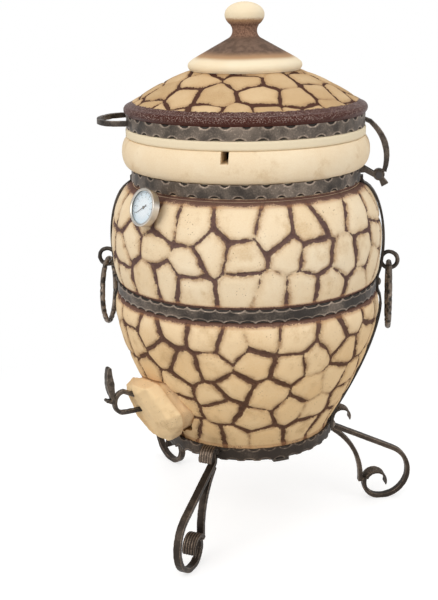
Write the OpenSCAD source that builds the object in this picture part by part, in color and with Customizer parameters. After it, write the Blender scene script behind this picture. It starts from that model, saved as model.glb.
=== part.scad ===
// Clay tandoor oven: a thick fire-clay pot with a hinged clay lid, held by
// forged steel hoops and standing on three scrolled legs.
// The origin is on the floor under the middle of the pot.  The lid hinge points
// along +X, the lid handle along -X.  An azimuth of 0 points along -Y and grows
// towards +X.  Millimetres.

/* [Clay pot] */
// Height of the pot's underside above the floor
stand_h = 187; // [150:1:240]
// Height of the pot from its underside to its rim
pot_h = 639; // [600:1:700]
// Radius of the pot's foot
foot_r = 173; // [160:1:185]
// Radius of the lower bulge
low_belly_r = 276.5; // [270:0.5:290]
// Radius of the upper bulge
up_belly_r = 279; // [272:0.5:292]
// Radius of the waist between the bulges, where the middle hoop sits
waist_r = 264.5; // [255:0.5:266]
// Height of the waist above the pot's underside
waist_h = 334; // [315:1:350]
// Radius of the neck under the neck hoop
neck_r = 228; // [222:1:236]
// Radius of the rounded collar above the neck
collar_r = 250.5; // [244:0.5:258]
// Radius of the mouth
mouth_r = 178; // [165:1:185]
// Wall thickness at the upper bulge
wall = 54; // [45:1:58]
// Thickness of the pot's floor
floor_t = 41; // [34:1:46]
// Height of the grate ledge above the pot's floor
ledge_h = 117; // [112:1:130]
// Width of a steam notch in the rim
notch_w = 15; // [8:1:20]
// Depth of a steam notch in the rim
notch_d = 22; // [14:1:26]

/* [Stone relief] */
// Usual distance between the middles of two stones
relief_pitch = 68; // [60:1:80]
// Depth of the joints between the stones
relief_d = 3.2; // [2:0.1:4]
// Usual width of a joint between two stones
relief_joint = 7; // [4:0.5:9]

/* [Ash door] */
// Azimuth of the ash door
door_az = -49; // [-54:1:-44]
// Height of the door's middle above the pot's underside
door_h = 104; // [100:1:108]
// Width of the opening through the wall
port_w = 120; // [90:1:126]
// Height of the opening through the wall
port_h = 80; // [60:1:82]
// Depth of the seat that the door's edge closes on
seat_d = 22; // [16:1:26]
// Depth of the door's tongue in the opening
tongue_d = 12; // [6:1:16]
// Gap between the door's edge and its seat
door_gap = 3; // [1.5:0.5:4]
// How far the middle of the door stands out from the wall
door_dome = 44; // [36:1:48]
// Reach of the door's handle from the door to its outer bend
door_loop_out = 60; // [52:1:66]
// Height of the door's handle between its two runs
door_loop_h = 45; // [40:1:50]
// Height of the handle's middle above the door's middle
door_loop_z = 16; // [10:1:22]
// Radius of the door handle's outer bend
door_bend_r = 19; // [17:0.5:22]
// Height of the door handle's thumb piece
thumb_h = 73; // [56:1:80]

/* [Lid] */
// Radius of the lid's lip and hoop seat
lid_r = 241.5; // [238:0.5:246]
// Rise of the lid from its hoop to the cap seat
lid_rise = 86; // [76:1:96]
// Thickness of the lid's shell
lid_t = 38; // [30:1:42]
// Radius of the draught hole in the lid
vent_r = 62; // [50:1:70]
// Radius of the draught cap
cap_r = 114; // [110:1:124]
// Height of the draught cap above its seat, knob included
cap_h = 127.5; // [120:0.5:140]
// Radius of the knob
knob_r = 39.4; // [34:0.2:44]

/* [Hoops and straps] */
// Height of the hoops
band_w = 27; // [22:1:32]
// Thickness of the hoops
band_t = 5; // [4:0.5:6]
// Width of the side straps
strap_w = 25; // [20:1:30]
// Thickness of the side straps
strap_t = 5; // [4:0.5:6]
// Radius of a rivet's shank
rivet_r = 4; // [3:0.25:5]
// Radius of a rivet's head
rivet_head_r = 8; // [6:0.5:9]
// Height of a rivet's head
rivet_head_h = 5; // [3:0.5:6]
// Radius of the hoop bolts
bolt_r = 4; // [3:0.5:5]

/* [Legs] */
// Azimuth of the front leg; the others follow at thirds of a turn
leg_az = -17.5; // [-22:0.5:-12]
// Radius on which the leg loops stand
leg_r = 300; // [285:1:315]
// Radius of a leg loop
loop_r = 60; // [54:1:64]
// Width of the leg bars
leg_w = 15; // [12:1:18]
// Thickness of the leg bars
leg_t = 10; // [8:1:12]
// Width of the reeded scroll ends
scroll_w = 30; // [22:1:36]

/* [Handles and hinge] */
// Radius of the ring handles, at the middle of their bar
ring_r = 66.5; // [60:0.5:70]
// Radius of the ring handles' bar
ring_bar_r = 5.5; // [4.5:0.5:6]
// Radius of the handle eyes, at the middle of their bar
eye_r = 17; // [16:0.5:19]
// Radius of the handle eyes' bar
eye_bar_r = 4.5; // [4:0.25:5]
// Height of the handle eyes above the waist
eye_h = 46.5; // [40:0.5:54]
// Distance of the lid hinge from the neck hoop
hinge_reach = 36; // [34:1:46]
// Height of the lid hinge below the rim
hinge_drop = 81; // [78:1:84]
// Radius of the hinge pin
pin_r = 4; // [3:0.5:5]
// Width of the lid arm
arm_w = 12; // [10:1:16]
// How far the lid arm bows out
arm_bow = 16; // [12:1:20]
// Thickness of the lid arm at its middle
arm_belly = 13; // [9:0.5:15]
// Length of the lid arm's tail below the hinge
tail_l = 25; // [18:1:27]
// Width of the lid handle
handle_w = 150; // [120:1:170]
// Reach of the lid handle
handle_out = 62; // [50:1:70]

/* [Thermometer] */
// Azimuth of the thermometer
dial_az = -38.5; // [-42:0.5:-35]
// Turn of the dial to the left of square with the wall
dial_turn = 5.5; // [0:0.5:8]
// Radius of the thermometer's case
dial_r = 35.5; // [30:0.5:38]
// Depth of the thermometer's case
dial_d = 15; // [12:0.5:18]
// Upward tilt of the thermometer
dial_tilt = 16.5; // [12:0.5:20]
// Radius of the thermometer's stem
stem_r = 4; // [3:0.5:5]

/* [Fire grate] */
// Thickness of the fire grate
grate_t = 12; // [8:1:16]
// Width of the grate's slots
slot_w = 12; // [8:1:14]

/* [Hidden] */
$fn = 96;

// Clearances
fit = 0.05;
loose = 0.4;
rest_gap = 0.3;

// Heights up the pot
base_z = stand_h;
rim_z = base_z + pot_h;
waist_z = base_z + waist_h;
low_belly_z = waist_z - 46;
up_belly_z = waist_z + 89;
waist_half = band_w / 2 + 1;
neck_z = rim_z - 76;
neck_lo = neck_z - band_w / 2 - 5.5;
crease_z = neck_z + band_w / 2 + 2.5;
collar_z = rim_z - 29;
crease_r = neck_r + 5;
foot_top = base_z + band_w + 3;
floor_z = base_z + floor_t;
ledge_z = floor_z + ledge_h;
cavity_r = up_belly_r - wall;
cavity_top = neck_lo - 1;
grate_r = mouth_r - 8;
ledge_r = grate_r - 12;

// Hoops
ring_band_r = foot_r + 2;
ring_out = ring_band_r + band_t;
neck_out = neck_r + band_t;
waist_out = waist_r + band_t;
ear_out = 24;
ear_t = 5;
ear_gap = 10;
ear_az = 180;

// Lid
lid_z = rim_z + rest_gap;
lid_band_z = lid_z + 18;
lid_band_top = lid_band_z + band_w;
lid_seat_r = lid_r - 6.5;
lid_out = lid_seat_r + band_t;
cone_z = lid_band_top + 18;
cone_r = lid_r - 5;
cap_seat_z = lid_band_top + lid_rise;
cap_seat_r = cap_r - 14;
cap_z = cap_seat_z + rest_gap;
knob_half = 24.5;
knob_z = cap_z + cap_h - knob_half;
knob_neck_r = 24.5;

// Hinge
hinge_z = rim_z - hinge_drop;
hinge_r = neck_out + hinge_reach;
cheek_t = 5;
cheek_gap = arm_w + 2 * loose;
arm_eye_r = pin_r + 8;

// Door
door_z = base_z + door_h;
door_tilt = 26;
door_wall_r = pot_out(door_z);
handle_az = door_az - 5;
bar = 9;

// Thermometer
dial_face_z = rim_z - 106.5;
dial_face_r = pot_out(dial_face_z - 8) + 29.5;
well_r = stem_r + 4;

// ---- Shapes by formula ----

function arc(c, r, a0, a1, n) =
    [for (i = [0:n]) c + r * [cos(a0 + (a1 - a0) * i / n), sin(a0 + (a1 - a0) * i / n)]];
function oval(c, rx, rz, a0, a1, n) =
    [for (i = [0:n]) c + [rx * cos(a0 + (a1 - a0) * i / n), rz * sin(a0 + (a1 - a0) * i / n)]];
function bow(p, q, rise, n) =
    let (d = q - p, side = [-d[1], d[0]] / norm(d))
    [for (i = [0:n]) p + d * i / n + side * rise * 4 * (i / n) * (1 - i / n)];
// Heights from a to b, closer together near both ends
function steps(a, b, n) = [for (i = [0:n]) a + (b - a) * (1 - cos(180 * i / n)) / 2];
// Share of an ellipse's width at a distance t from its middle
function round_off(t) = sqrt(max(0, 1 - t * t));
function reversed(p) = [for (i = [len(p) - 1:-1:0]) p[i]];
function heading(p, i) =
    let (d = p[min(i + 1, len(p) - 1)] - p[max(i - 1, 0)]) d / norm(d);
function edge(p, w0, w1) =
    [for (i = [0:len(p) - 1])
        let (d = heading(p, i), w = w0 + (w1 - w0) * i / (len(p) - 1))
        p[i] + [-d[1], d[0]] * w / 2];
// Angle on a circle at which a line from p touches the circle's upper side
function touch(p, c, r) = atan2(p[1] - c[1], p[0] - c[0]) - acos(r / norm(p - c));

// Outer radius of the pot at a height
function pot_out(z) =
    z <= foot_top ? foot_r :
    z < low_belly_z ? foot_r + (low_belly_r - foot_r)
        * (1 - pow((low_belly_z - z) / (low_belly_z - foot_top), 1.5)) :
    z < waist_z - waist_half ? waist_r + (low_belly_r - waist_r)
        * round_off((z - low_belly_z) / (waist_z - waist_half - low_belly_z)) :
    z <= waist_z + waist_half ? waist_r :
    z < up_belly_z ? waist_r + (up_belly_r - waist_r)
        * round_off((up_belly_z - z) / (up_belly_z - waist_z - waist_half)) :
    z < neck_lo ? neck_r + (up_belly_r - neck_r)
        * round_off((z - up_belly_z) / (neck_lo - up_belly_z)) :
    neck_r;

// A strip of constant or tapering width along a path
module strip(path, w0, w1) {
    polygon(concat(edge(path, w0, w1), reversed(edge(path, -w0, -w1))));
}

// A shape drawn in radius and height, given a width across the radius
module radial(az, w) {
    rotate([0, 0, az - 90])
        rotate([90, 0, 0])
            linear_extrude(w, center = true)
                children();
}

// ---- Clay pot ----

module pot_profile() {
    outer = concat(
        [[0, base_z], [foot_r - 4, base_z], [foot_r, base_z + 4], [foot_r, foot_top]],
        [for (i = [1:14]) let (z = foot_top + (low_belly_z - foot_top) * i / 14) [pot_out(z), z]],
        [for (z = steps(low_belly_z + 4, waist_z - waist_half, 5)) [pot_out(z), z]],
        [for (z = steps(waist_z + waist_half, up_belly_z, 6)) [pot_out(z), z]],
        [for (z = steps(up_belly_z + 8, neck_lo, 8)) [pot_out(z), z]],
        [[neck_r, neck_z + band_w / 2 + 0.5], [crease_r - 2, crease_z]],
        oval([crease_r, collar_z], collar_r - crease_r, rim_z - collar_z + 3, -84, 68, 10),
        [[collar_r - 12, rim_z], [mouth_r + 5, rim_z]]);
    inner = concat(
        [[mouth_r + 2, rim_z - 3], [mouth_r, rim_z - notch_d - 1.5], [mouth_r, cavity_top]],
        [for (i = [1:7]) let (a = 90 * i / 7)
            [mouth_r + (cavity_r - mouth_r) * sin(a),
             up_belly_z + (cavity_top - up_belly_z) * cos(a)]],
        [for (i = [1:7]) let (z = up_belly_z + (ledge_z - up_belly_z) * i / 7)
            [grate_r + 18 + (cavity_r - grate_r - 18) * sin(90 * (7 - i) / 7), z]],
        [[ledge_r, ledge_z], [ledge_r - 2, ledge_z - 45], [ledge_r - 8, floor_z + 22]],
        arc([ledge_r - 28, floor_z + 20], 20, 0, -90, 4),
        [[0, floor_z]]);
    polygon(concat(outer, inner));
}

// A number from 0 to 1 that looks thrown, always the same for one number
function thrown(n) = let (v = sin(n * 67.3 + 20) * 971.3) v - floor(v);

// Stones between two heights, each as [number, azimuth, radius, height]
function stones_in(from, to, first) =
    let (rows = max(2, round(1.08 * (to - from) / relief_pitch)))
    [for (k = [0:rows - 1])
        let (row_z = from + (to - from) * (k + 0.5) / rows,
             n = round(2 * PI * pot_out(row_z) / relief_pitch))
        for (i = [0:n - 1])
            let (id = first + 40 * k + i, z = row_z + relief_pitch * 0.5 * (thrown(id) - 0.5))
            [id, 360 / n * (i + k % 2 / 2 + 0.6 * (thrown(id + 0.5) - 0.5)), pot_out(z), z]];

function stone_at(s) = [s[2] * sin(s[1]), -s[2] * cos(s[1]), s[3]];

// How far the wall leans back at a stone
function lean_at(s) = atan((pot_out(s[3] - 4) - pot_out(s[3] + 4)) / 8);

// Half the joint between two stones; a few pairs have grown together
function half_joint(a, b) =
    let (v = thrown(a[0] + b[0] + 0.25)) v > 0.92 ? -0.5 : relief_joint * (0.28 + 0.5 * v);

// A polygon without what lies past the line [across, up, distance]
function clip(p, wall) =
    [for (i = [0:len(p) - 1])
        let (a = p[i], b = p[(i + 1) % len(p)],
             in_a = wall[2] - a[0] * wall[0] - a[1] * wall[1],
             in_b = wall[2] - b[0] * wall[0] - b[1] * wall[1])
        each concat(in_a >= 0 ? [a] : [], in_a * in_b < 0 ? [a + (b - a) * in_a / (in_a - in_b)] : [])];

function clip_all(p, walls, i = 0) = i == len(walls) ? p : clip_all(clip(p, walls[i]), walls, i + 1);

// Outline of one stone on the wall: what is nearer to it than to any other
function stone_outline(s, all) =
    let (c = stone_at(s), lean = lean_at(s), reach = relief_pitch * 1.1,
         across = [cos(s[1]), sin(s[1]), 0],
         up = [-sin(s[1]) * sin(lean), cos(s[1]) * sin(lean), cos(lean)],
         walls = [for (q = all)
             let (w = stone_at(q) - c, d = norm(w))
             if (d > 0.01 && d < relief_pitch * 2.2)
                 [w * across / d, w * up / d, d / 2 - half_joint(s, q)]])
    clip_all([[-reach, -reach], [reach, -reach], [reach, reach], [-reach, reach]], walls);

// The joints between the stones, as a net to cut out of the wall
module joint_net(from, to, first) {
    all = stones_in(from, to, first);
    difference() {
        rotate_extrude()
            polygon(concat(
                [for (z = steps(from + 3, to - 3, 10)) [pot_out(z) + 2, z]],
                reversed([for (z = steps(from + 6, to - 6, 10)) [pot_out(z) - relief_d, z]])));
        for (s = all)
            rotate([0, 0, s[1]])
                translate([0, -s[2], s[3]])
                    rotate([90 - lean_at(s), 0, 0])
                        translate([0, 0, -relief_d - 14])
                            linear_extrude(relief_d + 20)
                                polygon(stone_outline(s, all));
    }
}

// The pot is two shells, joined at the waist under the middle hoop
module shell(from, to) {
    rotate_extrude()
        intersection() {
            pot_profile();
            translate([0, from]) square([up_belly_r + 20, to - from]);
        }
}

module pot_lower() {
    color([0.87, 0.75, 0.57])
    difference() {
        shell(base_z, waist_z);
        joint_net(foot_top, waist_z - waist_half, 0);
        door_frame() port_prism(0, low_belly_r, 0);
        intersection() {
            door_frame() stone_prism(0);
            door_outside(seat_d);
        }
    }
}

module pot_upper() {
    color([0.88, 0.77, 0.6])
    difference() {
        shell(waist_z, rim_z);
        joint_net(waist_z + waist_half, neck_lo - 4, 400);
        for (k = [0:3])
            rotate([0, 0, 90 * k - 4])
                translate([-notch_w / 2, -collar_r - 5, rim_z - notch_d])
                    cube([notch_w, collar_r - mouth_r + 15, notch_d + 1]);
        dial_frame() translate([0, 0, -150]) cylinder(r = well_r + fit, h = 150);
    }
}

// ---- Ash door ----

// Corners of the stone-shaped door, across and up from its middle
stone = [[52, 67], [86, 8], [79, -12], [60, -36], [22, -62], [-46, -56], [-86, -14], [-68, 46], [-10, 60]];

module door_frame() {
    rotate([0, 0, door_az]) translate([0, 0, door_z]) children();
}

// The door's frame, tipped to lie along the wall
module door_wall_frame() {
    door_frame() translate([0, -door_wall_r, 0]) rotate([door_tilt, 0, 0]) children();
}

module stone_prism(gap) {
    rotate([90, 0, 0])
        linear_extrude(low_belly_r + 40)
            polygon([for (p = stone) p * (1 - gap / norm(p))]);
}

function round_box(w, h, r) = concat(
    arc([w / 2 - r, h / 2 - r], r, 0, 90, 4), arc([r - w / 2, h / 2 - r], r, 90, 180, 4),
    arc([r - w / 2, r - h / 2], r, 180, 270, 4), arc([w / 2 - r, r - h / 2], r, 270, 360, 4));

module port_prism(from, to, gap) {
    translate([0, -from, -12])
        rotate([90, 0, 0])
            linear_extrude(to - from)
                polygon(round_box(port_w - 2 * gap, port_h - 2 * gap, 18 - gap));
}

// Everything outside a plane that lies at a depth in the wall
module door_outside(depth) {
    door_wall_frame() translate([-150, depth - 300, -200]) cube([300, 300, 400]);
}

// One layer of the door's rounded face, at a depth in the wall
module face_layer(depth, kx, kz, shift = 0) {
    translate([shift, depth, 0])
        rotate([90, 0, 0])
            linear_extrude(1)
                polygon([for (p = stone) [p[0] * kx, p[1] * kz / cos(door_tilt)]]);
}

module ash_door() {
    tongue_in = door_wall_r - seat_d - tongue_d;
    color([0.9, 0.78, 0.58])
    difference() {
        union() {
            intersection() {
                union() {
                    door_frame() stone_prism(door_gap);
                    door_outside(-5);
                }
                door_outside(seat_d - rest_gap);
                door_wall_frame() hull() {
                    face_layer(seat_d + 4, 1.1, 1.1);
                    face_layer(-3, 1.03, 1.06);
                    face_layer(-door_dome * 0.72, 0.84, 1.12, -6);
                    face_layer(-door_dome + 1, 0.46, 0.85, -20);
                }
            }
            difference() {
                door_frame() port_prism(tongue_in, door_wall_r, door_gap);
                door_outside(seat_d - rest_gap);
            }
        }
        door_handle_bar();
    }
}

// The forged loop, in radius and height, from its upper root round to the lower one
door_face_r = door_wall_r + door_dome * cos(door_tilt);
loop_mid = door_z + door_loop_z;
loop_low = loop_mid - door_loop_h / 2;
loop_x = door_face_r + door_loop_out;
loop_path = concat(
    [[door_face_r - 14, loop_mid + 1], [door_face_r + 15, loop_mid + 10]],
    oval([loop_x - door_bend_r, loop_mid], door_bend_r, door_loop_h / 2, 94, -90, 14),
    [[door_face_r + 2, loop_low - 1], [door_face_r - 24, loop_low]]);

module door_handle_bar() {
    radial(handle_az, bar) strip(loop_path, bar, bar);
}

module ash_door_handle() {
    color([0.2, 0.18, 0.17]) door_handle_bar();
}

// The upright leaf-shaped thumb piece and the hooked end, welded to the loop's outer bend
thumb_foot = [loop_x + 1, loop_mid + 7];
thumb_mid = thumb_foot + [8, thumb_h * 0.5];
thumb_top = thumb_foot + [9, thumb_h - bar / 2];
thumb_w = bar * 1.9;
hook_end = [loop_x + 17, loop_mid + 10];

module ash_door_thumb_piece() {
    color([0.2, 0.18, 0.17])
    difference() {
        radial(handle_az, bar + 5) {
            strip(bow(thumb_foot, thumb_mid, -2, 4), bar, thumb_w);
            translate(thumb_mid) circle(thumb_w / 2);
            strip(bow(thumb_mid, thumb_top, -1, 4), thumb_w, bar);
            translate(thumb_top) circle(bar / 2);
            strip([[loop_x, loop_mid + 2], hook_end], bar, bar * 0.7);
            translate(hook_end) circle(bar * 0.4);
        }
        door_handle_bar();
    }
}

// ---- Hoops ----

// A hoop with two ears at the rear, which a bolt pulls together
module hoop(r_in, z, ears) {
    difference() {
        union() {
            rotate_extrude()
                translate([r_in, z])
                    square([band_t, band_w]);
            if (ears)
                rotate([0, 0, ear_az])
                    translate([-ear_gap / 2 - ear_t, -r_in - ear_out, z])
                        cube([ear_gap + 2 * ear_t, ear_out, band_w]);
        }
        if (ears) {
            rotate([0, 0, ear_az])
                translate([-ear_gap / 2, -r_in - ear_out - 1, z - 1])
                    cube([ear_gap, ear_out + 20, band_w + 2]);
            bolt_place(r_in, z) translate([0, 0, -20]) cylinder(r = bolt_r + fit, h = 40);
        }
    }
}

// The middle of a hoop bolt, with the bolt along its own Z
module bolt_place(r_in, z) {
    rotate([0, 0, ear_az])
        translate([0, -r_in - band_t - (ear_out - band_t) / 2, z + band_w / 2])
            rotate([0, 90, 0])
                children();
}

module hoop_bolt(r_in, z) {
    grip = ear_gap / 2 + ear_t;
    bolt_place(r_in, z) {
        translate([0, 0, -grip]) cylinder(r = bolt_r, h = 2 * grip + bolt_r * 2 + 3);
        translate([0, 0, -grip - 5]) cylinder(r = bolt_r * 1.85, h = 5, $fn = 6);
    }
}

module hoop_nut(r_in, z) {
    grip = ear_gap / 2 + ear_t;
    bolt_place(r_in, z)
        translate([0, 0, grip])
            difference() {
                cylinder(r = bolt_r * 1.85, h = bolt_r * 1.6, $fn = 6);
                translate([0, 0, -1]) cylinder(r = bolt_r + fit, h = bolt_r * 1.6 + 2);
            }
}

module neck_band() {
    color([0.25, 0.23, 0.22]) hoop(neck_r, neck_z - band_w / 2, true);
}

module middle_band() {
    color([0.25, 0.23, 0.22])
    difference() {
        hoop(waist_r, waist_z - band_w / 2, true);
        for (side = [-1, 1]) rivet_place(side, waist_z, waist_r - 1) cylinder(r = rivet_r + fit, h = 8);
    }
}

module bottom_band() {
    color([0.28, 0.24, 0.21])
    difference() {
        hoop(ring_band_r, base_z, false);
        for (side = [-1, 1]) rivet_place(side, low_rivet_z, ring_band_r - 1) cylinder(r = rivet_r + fit, h = 8);
    }
}

module band_bolts() {
    color([0.3, 0.29, 0.28]) {
        hoop_bolt(neck_r, neck_z - band_w / 2);
        hoop_bolt(waist_r, waist_z - band_w / 2);
    }
}

module band_nuts() {
    color([0.3, 0.29, 0.28]) {
        hoop_nut(neck_r, neck_z - band_w / 2);
        hoop_nut(waist_r, waist_z - band_w / 2);
    }
}

// Two flat bars under the bottom hoop carry the pot.  They cross with a half lap.
base_bar_t = 6;
base_bar_w = 34;

module base_bar(turn) {
    intersection() {
        translate([0, 0, base_z - base_bar_t]) cylinder(r = ring_out - 2, h = base_bar_t);
        rotate([0, 0, leg_az + 45 + turn])
            translate([-ring_out, -base_bar_w / 2, base_z - base_bar_t])
                cube([2 * ring_out, base_bar_w, base_bar_t]);
    }
}

module lap(low) {
    rotate([0, 0, leg_az + 45])
        translate([-base_bar_w / 2, -base_bar_w / 2, base_z - base_bar_t + (low ? -1 : base_bar_t / 2)])
            cube([base_bar_w, base_bar_w, base_bar_t / 2 + 1]);
}

module base_bar_long() {
    color([0.25, 0.22, 0.2])
    difference() {
        base_bar(0);
        lap(false);
    }
}

module base_bar_cross() {
    color([0.25, 0.22, 0.2])
    difference() {
        base_bar(90);
        lap(true);
    }
}

// ---- Side straps, eyes and ring handles ----

low_rivet_z = base_z + band_w / 2;
strap_top = neck_z - 7;
strap_low = base_z + 2;

function over_hoop(z, mid) = abs(z - mid) <= band_w / 2 + 2;
function strap_in(z) =
    z >= neck_lo ? neck_out :
    over_hoop(z, waist_z) ? max(waist_out, pot_out(z) + 0.5) :
    z <= base_z + band_w + 1 ? ring_out :
    pot_out(z) + 0.6;
strap_path = concat(
    [[strap_in(strap_low), strap_low]],
    [for (i = [0:18]) let (z = base_z + band_w + (waist_z - band_w - base_z - 2 * waist_half) * i / 18)
        [strap_in(z), z]],
    [for (z = [waist_z - band_w / 2 - 2, waist_z + band_w / 2 + 2]) [strap_in(z), z]],
    [for (i = [0:12]) let (z = waist_z + band_w + (up_belly_z + 40 - waist_z - band_w) * i / 12)
        [strap_in(z), z]],
    [for (z = steps(up_belly_z + 48, neck_lo - 1.5, 9)) [strap_in(z), z]],
    [[neck_out, neck_lo + 3], [neck_out, strap_top]]);
strap_back = [for (p = strap_path) p + [strap_t, 0]];
// Where the strap lies across the middle hoop
strap_mid = max(strap_in(waist_z - band_w / 2 - 2), strap_in(waist_z + band_w / 2 + 2));

module strap(side) {
    difference() {
        radial(90 * side, strap_w) polygon(concat(strap_path, reversed(strap_back)));
        for (z = [low_rivet_z, waist_z])
            rivet_place(side, z, foot_r) cylinder(r = rivet_r + fit, h = 150);
    }
}

module rivet_place(side, z, r) {
    rotate([0, 0, 90 * side - 90]) translate([r, 0, z]) rotate([0, 90, 0]) children();
}

module rivet(side, z, r_in, r_head) {
    rivet_place(side, z, r_in) cylinder(r = rivet_r, h = r_head - r_in + 1);
    rivet_place(side, z, r_head)
        rotate_extrude()
            polygon(concat([[0, 0]], oval([0, 0], rivet_head_r, rivet_head_h, 0, 90, 5)));
}

module strap_right() {
    color([0.22, 0.21, 0.2]) strap(1);
}

module strap_left() {
    color([0.22, 0.21, 0.2]) strap(-1);
}

module strap_rivets() {
    color([0.24, 0.22, 0.21])
    for (side = [-1, 1]) {
        rivet(side, waist_z, waist_r, strap_mid + strap_t);
        rivet(side, low_rivet_z, ring_band_r, ring_out + strap_t);
    }
}

eye_z = waist_z + eye_h;
eye_hole = eye_r - eye_bar_r;
// The eye stands off until its hole clears the strap all the way up
eye_x = strap_t + max(concat([strap_in(eye_z) + eye_r * 0.75],
    [for (dz = [1 - eye_hole:eye_hole])
        strap_in(eye_z + dz) + sqrt(max(0, eye_hole * eye_hole - dz * dz)) + loose / 4]));
ring_top_z = eye_z - eye_r + eye_bar_r + ring_bar_r + rest_gap;

module eye(side) {
    color([0.22, 0.21, 0.2])
    difference() {
        rotate([0, 0, 90 * side - 90])
            translate([eye_x, 0, eye_z])
                rotate([90, 0, 0])
                    rotate_extrude() translate([eye_r, 0]) circle(eye_bar_r);
        radial(90 * side, 40)
            polygon(concat([[100, strap_low]], strap_back, [[100, strap_top]]));
    }
}

module ring(side) {
    color([0.2, 0.18, 0.17])
    rotate([0, 0, 90 * side - 90])
        translate([eye_x, 0, ring_top_z - ring_r])
            rotate([0, 90, 0])
                rotate_extrude() translate([ring_r, 0]) circle(ring_bar_r);
}

module eye_right() eye(1);
module eye_left() eye(-1);
module ring_right() ring(1);
module ring_left() ring(-1);

// ---- Legs ----

// The bar's path in radius and height: the curl above the hoop, the sloping
// strand, the standing loop, and the scroll inside it
leg_x = ring_out + leg_t / 2;
curl_path = arc([leg_x + 20, base_z + 15], 20, -20, 180, 12);
strand_start = [leg_x + 7, base_z - 8];
foot_flat = 1;
loop_c = [leg_r, loop_r + leg_t / 2 - foot_flat];
loop_in = -100;
turn_r = loop_r * 0.57;
turn_c = loop_c + (loop_r - turn_r) * [cos(loop_in), sin(loop_in)];
turn_in = -200;
scroll_r = loop_r * 0.4;
scroll_c = turn_c + (turn_r - scroll_r) * [cos(turn_in), sin(turn_in)];
strand_path = concat(
    [[leg_x, base_z + 20], [leg_x, base_z + 2], [leg_x + 2, base_z - 4], strand_start],
    arc(loop_c, loop_r, touch(strand_start, loop_c, loop_r), loop_in, 20),
    arc(turn_c, turn_r, loop_in - 12, turn_in, 6));
scroll_path = arc(scroll_c, scroll_r, turn_in - 2, turn_in - 180, 12);

module leg(az) {
    color([0.22, 0.2, 0.19])
    difference() {
        union() {
            radial(az, scroll_w) strip(curl_path, 3, leg_t);
            radial(az, leg_w) strip(strand_path, leg_t, leg_t);
            radial(az, scroll_w) strip(scroll_path, leg_t, 3);
        }
        translate([0, 0, -20]) cylinder(r = leg_r + 100, h = 20);
    }
}

// The second strand, from under the hoop to the side of the scroll
brace_top = [leg_x + 3, base_z - 14];
brace_end = [turn_c[0] - turn_r - leg_t + 1, turn_c[1] + 4];

module brace(az) {
    color([0.22, 0.2, 0.19])
    difference() {
        radial(az, leg_w) strip(bow(brace_top, brace_end, 20, 12), leg_t, leg_t);
        radial(az, leg_w + 2) strip(strand_path, leg_t, leg_t);
    }
}

module leg_front() leg(leg_az);
module leg_right() leg(leg_az + 120);
module leg_rear() leg(leg_az - 120);
module brace_front() brace(leg_az);
module brace_right() brace(leg_az + 120);
module brace_rear() brace(leg_az - 120);

// ---- Fire grate ----

module fire_grate() {
    color([0.16, 0.16, 0.16])
    difference() {
        translate([0, 0, ledge_z + rest_gap]) cylinder(r = grate_r, h = grate_t);
        for (k = [-5:5])
            for (side = [-1, 1])
                let (y = k * slot_w * 2, reach = sqrt(pow(grate_r - 16, 2) - y * y))
                    translate([side > 0 ? 8 : -reach, y - slot_w / 2, ledge_z])
                        cube([reach - 8, slot_w, grate_t + 2]);
    }
}

// ---- Lid ----

function cone_at(r) =
    let (t = (cone_r - r) / (cone_r - cap_seat_r))
    cone_z + (cap_seat_z - cone_z) * t + 6 * sin(180 * t);

module lid_shell() {
    color([0.84, 0.7, 0.52])
    rotate_extrude()
        polygon(concat(
            [[mouth_r + 8, lid_z], [lid_r - 3, lid_z], [lid_r, lid_z + 3],
             [lid_r, lid_band_z - 2], [lid_r - 2, lid_band_z],
             [lid_seat_r, lid_band_z], [lid_seat_r, lid_band_top], [lid_r - 1, lid_band_top]],
            oval([cone_r, lid_band_top + 9], lid_r + 3 - cone_r, 9, -60, 80, 6),
            [for (i = [0:10]) let (r = cone_r - 1 - (cone_r - 1 - cap_seat_r) * i / 10) [r, cone_at(r)]],
            [[vent_r, cap_seat_z], [vent_r, cap_seat_z - lid_t],
             [mouth_r - 4, cone_z - 22], [mouth_r + 8, lid_z + 22]]));
}

module lid_band() {
    color([0.25, 0.23, 0.22]) hoop(lid_seat_r, lid_band_z, true);
}

module lid_band_bolt() {
    color([0.3, 0.29, 0.28]) hoop_bolt(lid_seat_r, lid_band_z);
}

module lid_band_nut() {
    color([0.3, 0.29, 0.28]) hoop_nut(lid_seat_r, lid_band_z);
}

// The bowed arm from the lid hoop down to the hinge eye, with a short split tail
arm_path = concat(
    [[lid_out - 4, lid_band_z + 13]],
    bow([lid_out + 10, lid_band_z + 7], [hinge_r + arm_eye_r - 1, hinge_z + 6], arm_bow, 10));
tail_end = [hinge_r, hinge_z] + tail_l * [cos(-58), sin(-58)];

module lid_arm() {
    color([0.22, 0.2, 0.19])
    difference() {
        union() {
            radial(90, arm_w) {
                strip([for (i = [0:6]) arm_path[i]], 8, arm_belly);
                strip([for (i = [6:len(arm_path) - 1]) arm_path[i]], arm_belly, 9);
                translate(arm_path[6]) circle(arm_belly / 2);
            }
            radial(90, arm_w) translate([hinge_r, hinge_z]) circle(arm_eye_r);
            radial(90, arm_w) strip([[hinge_r + 4, hinge_z - 6], tail_end], arm_w - 2, arm_w + 4);
        }
        translate([0, 0, lid_band_z - 5]) cylinder(r = lid_out, h = band_w + 10);
        hinge_axis() cylinder(r = pin_r + fit, h = 60, center = true);
    }
}

module hinge_axis() {
    translate([hinge_r, 0, hinge_z]) rotate([90, 0, 0]) children();
}

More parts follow.
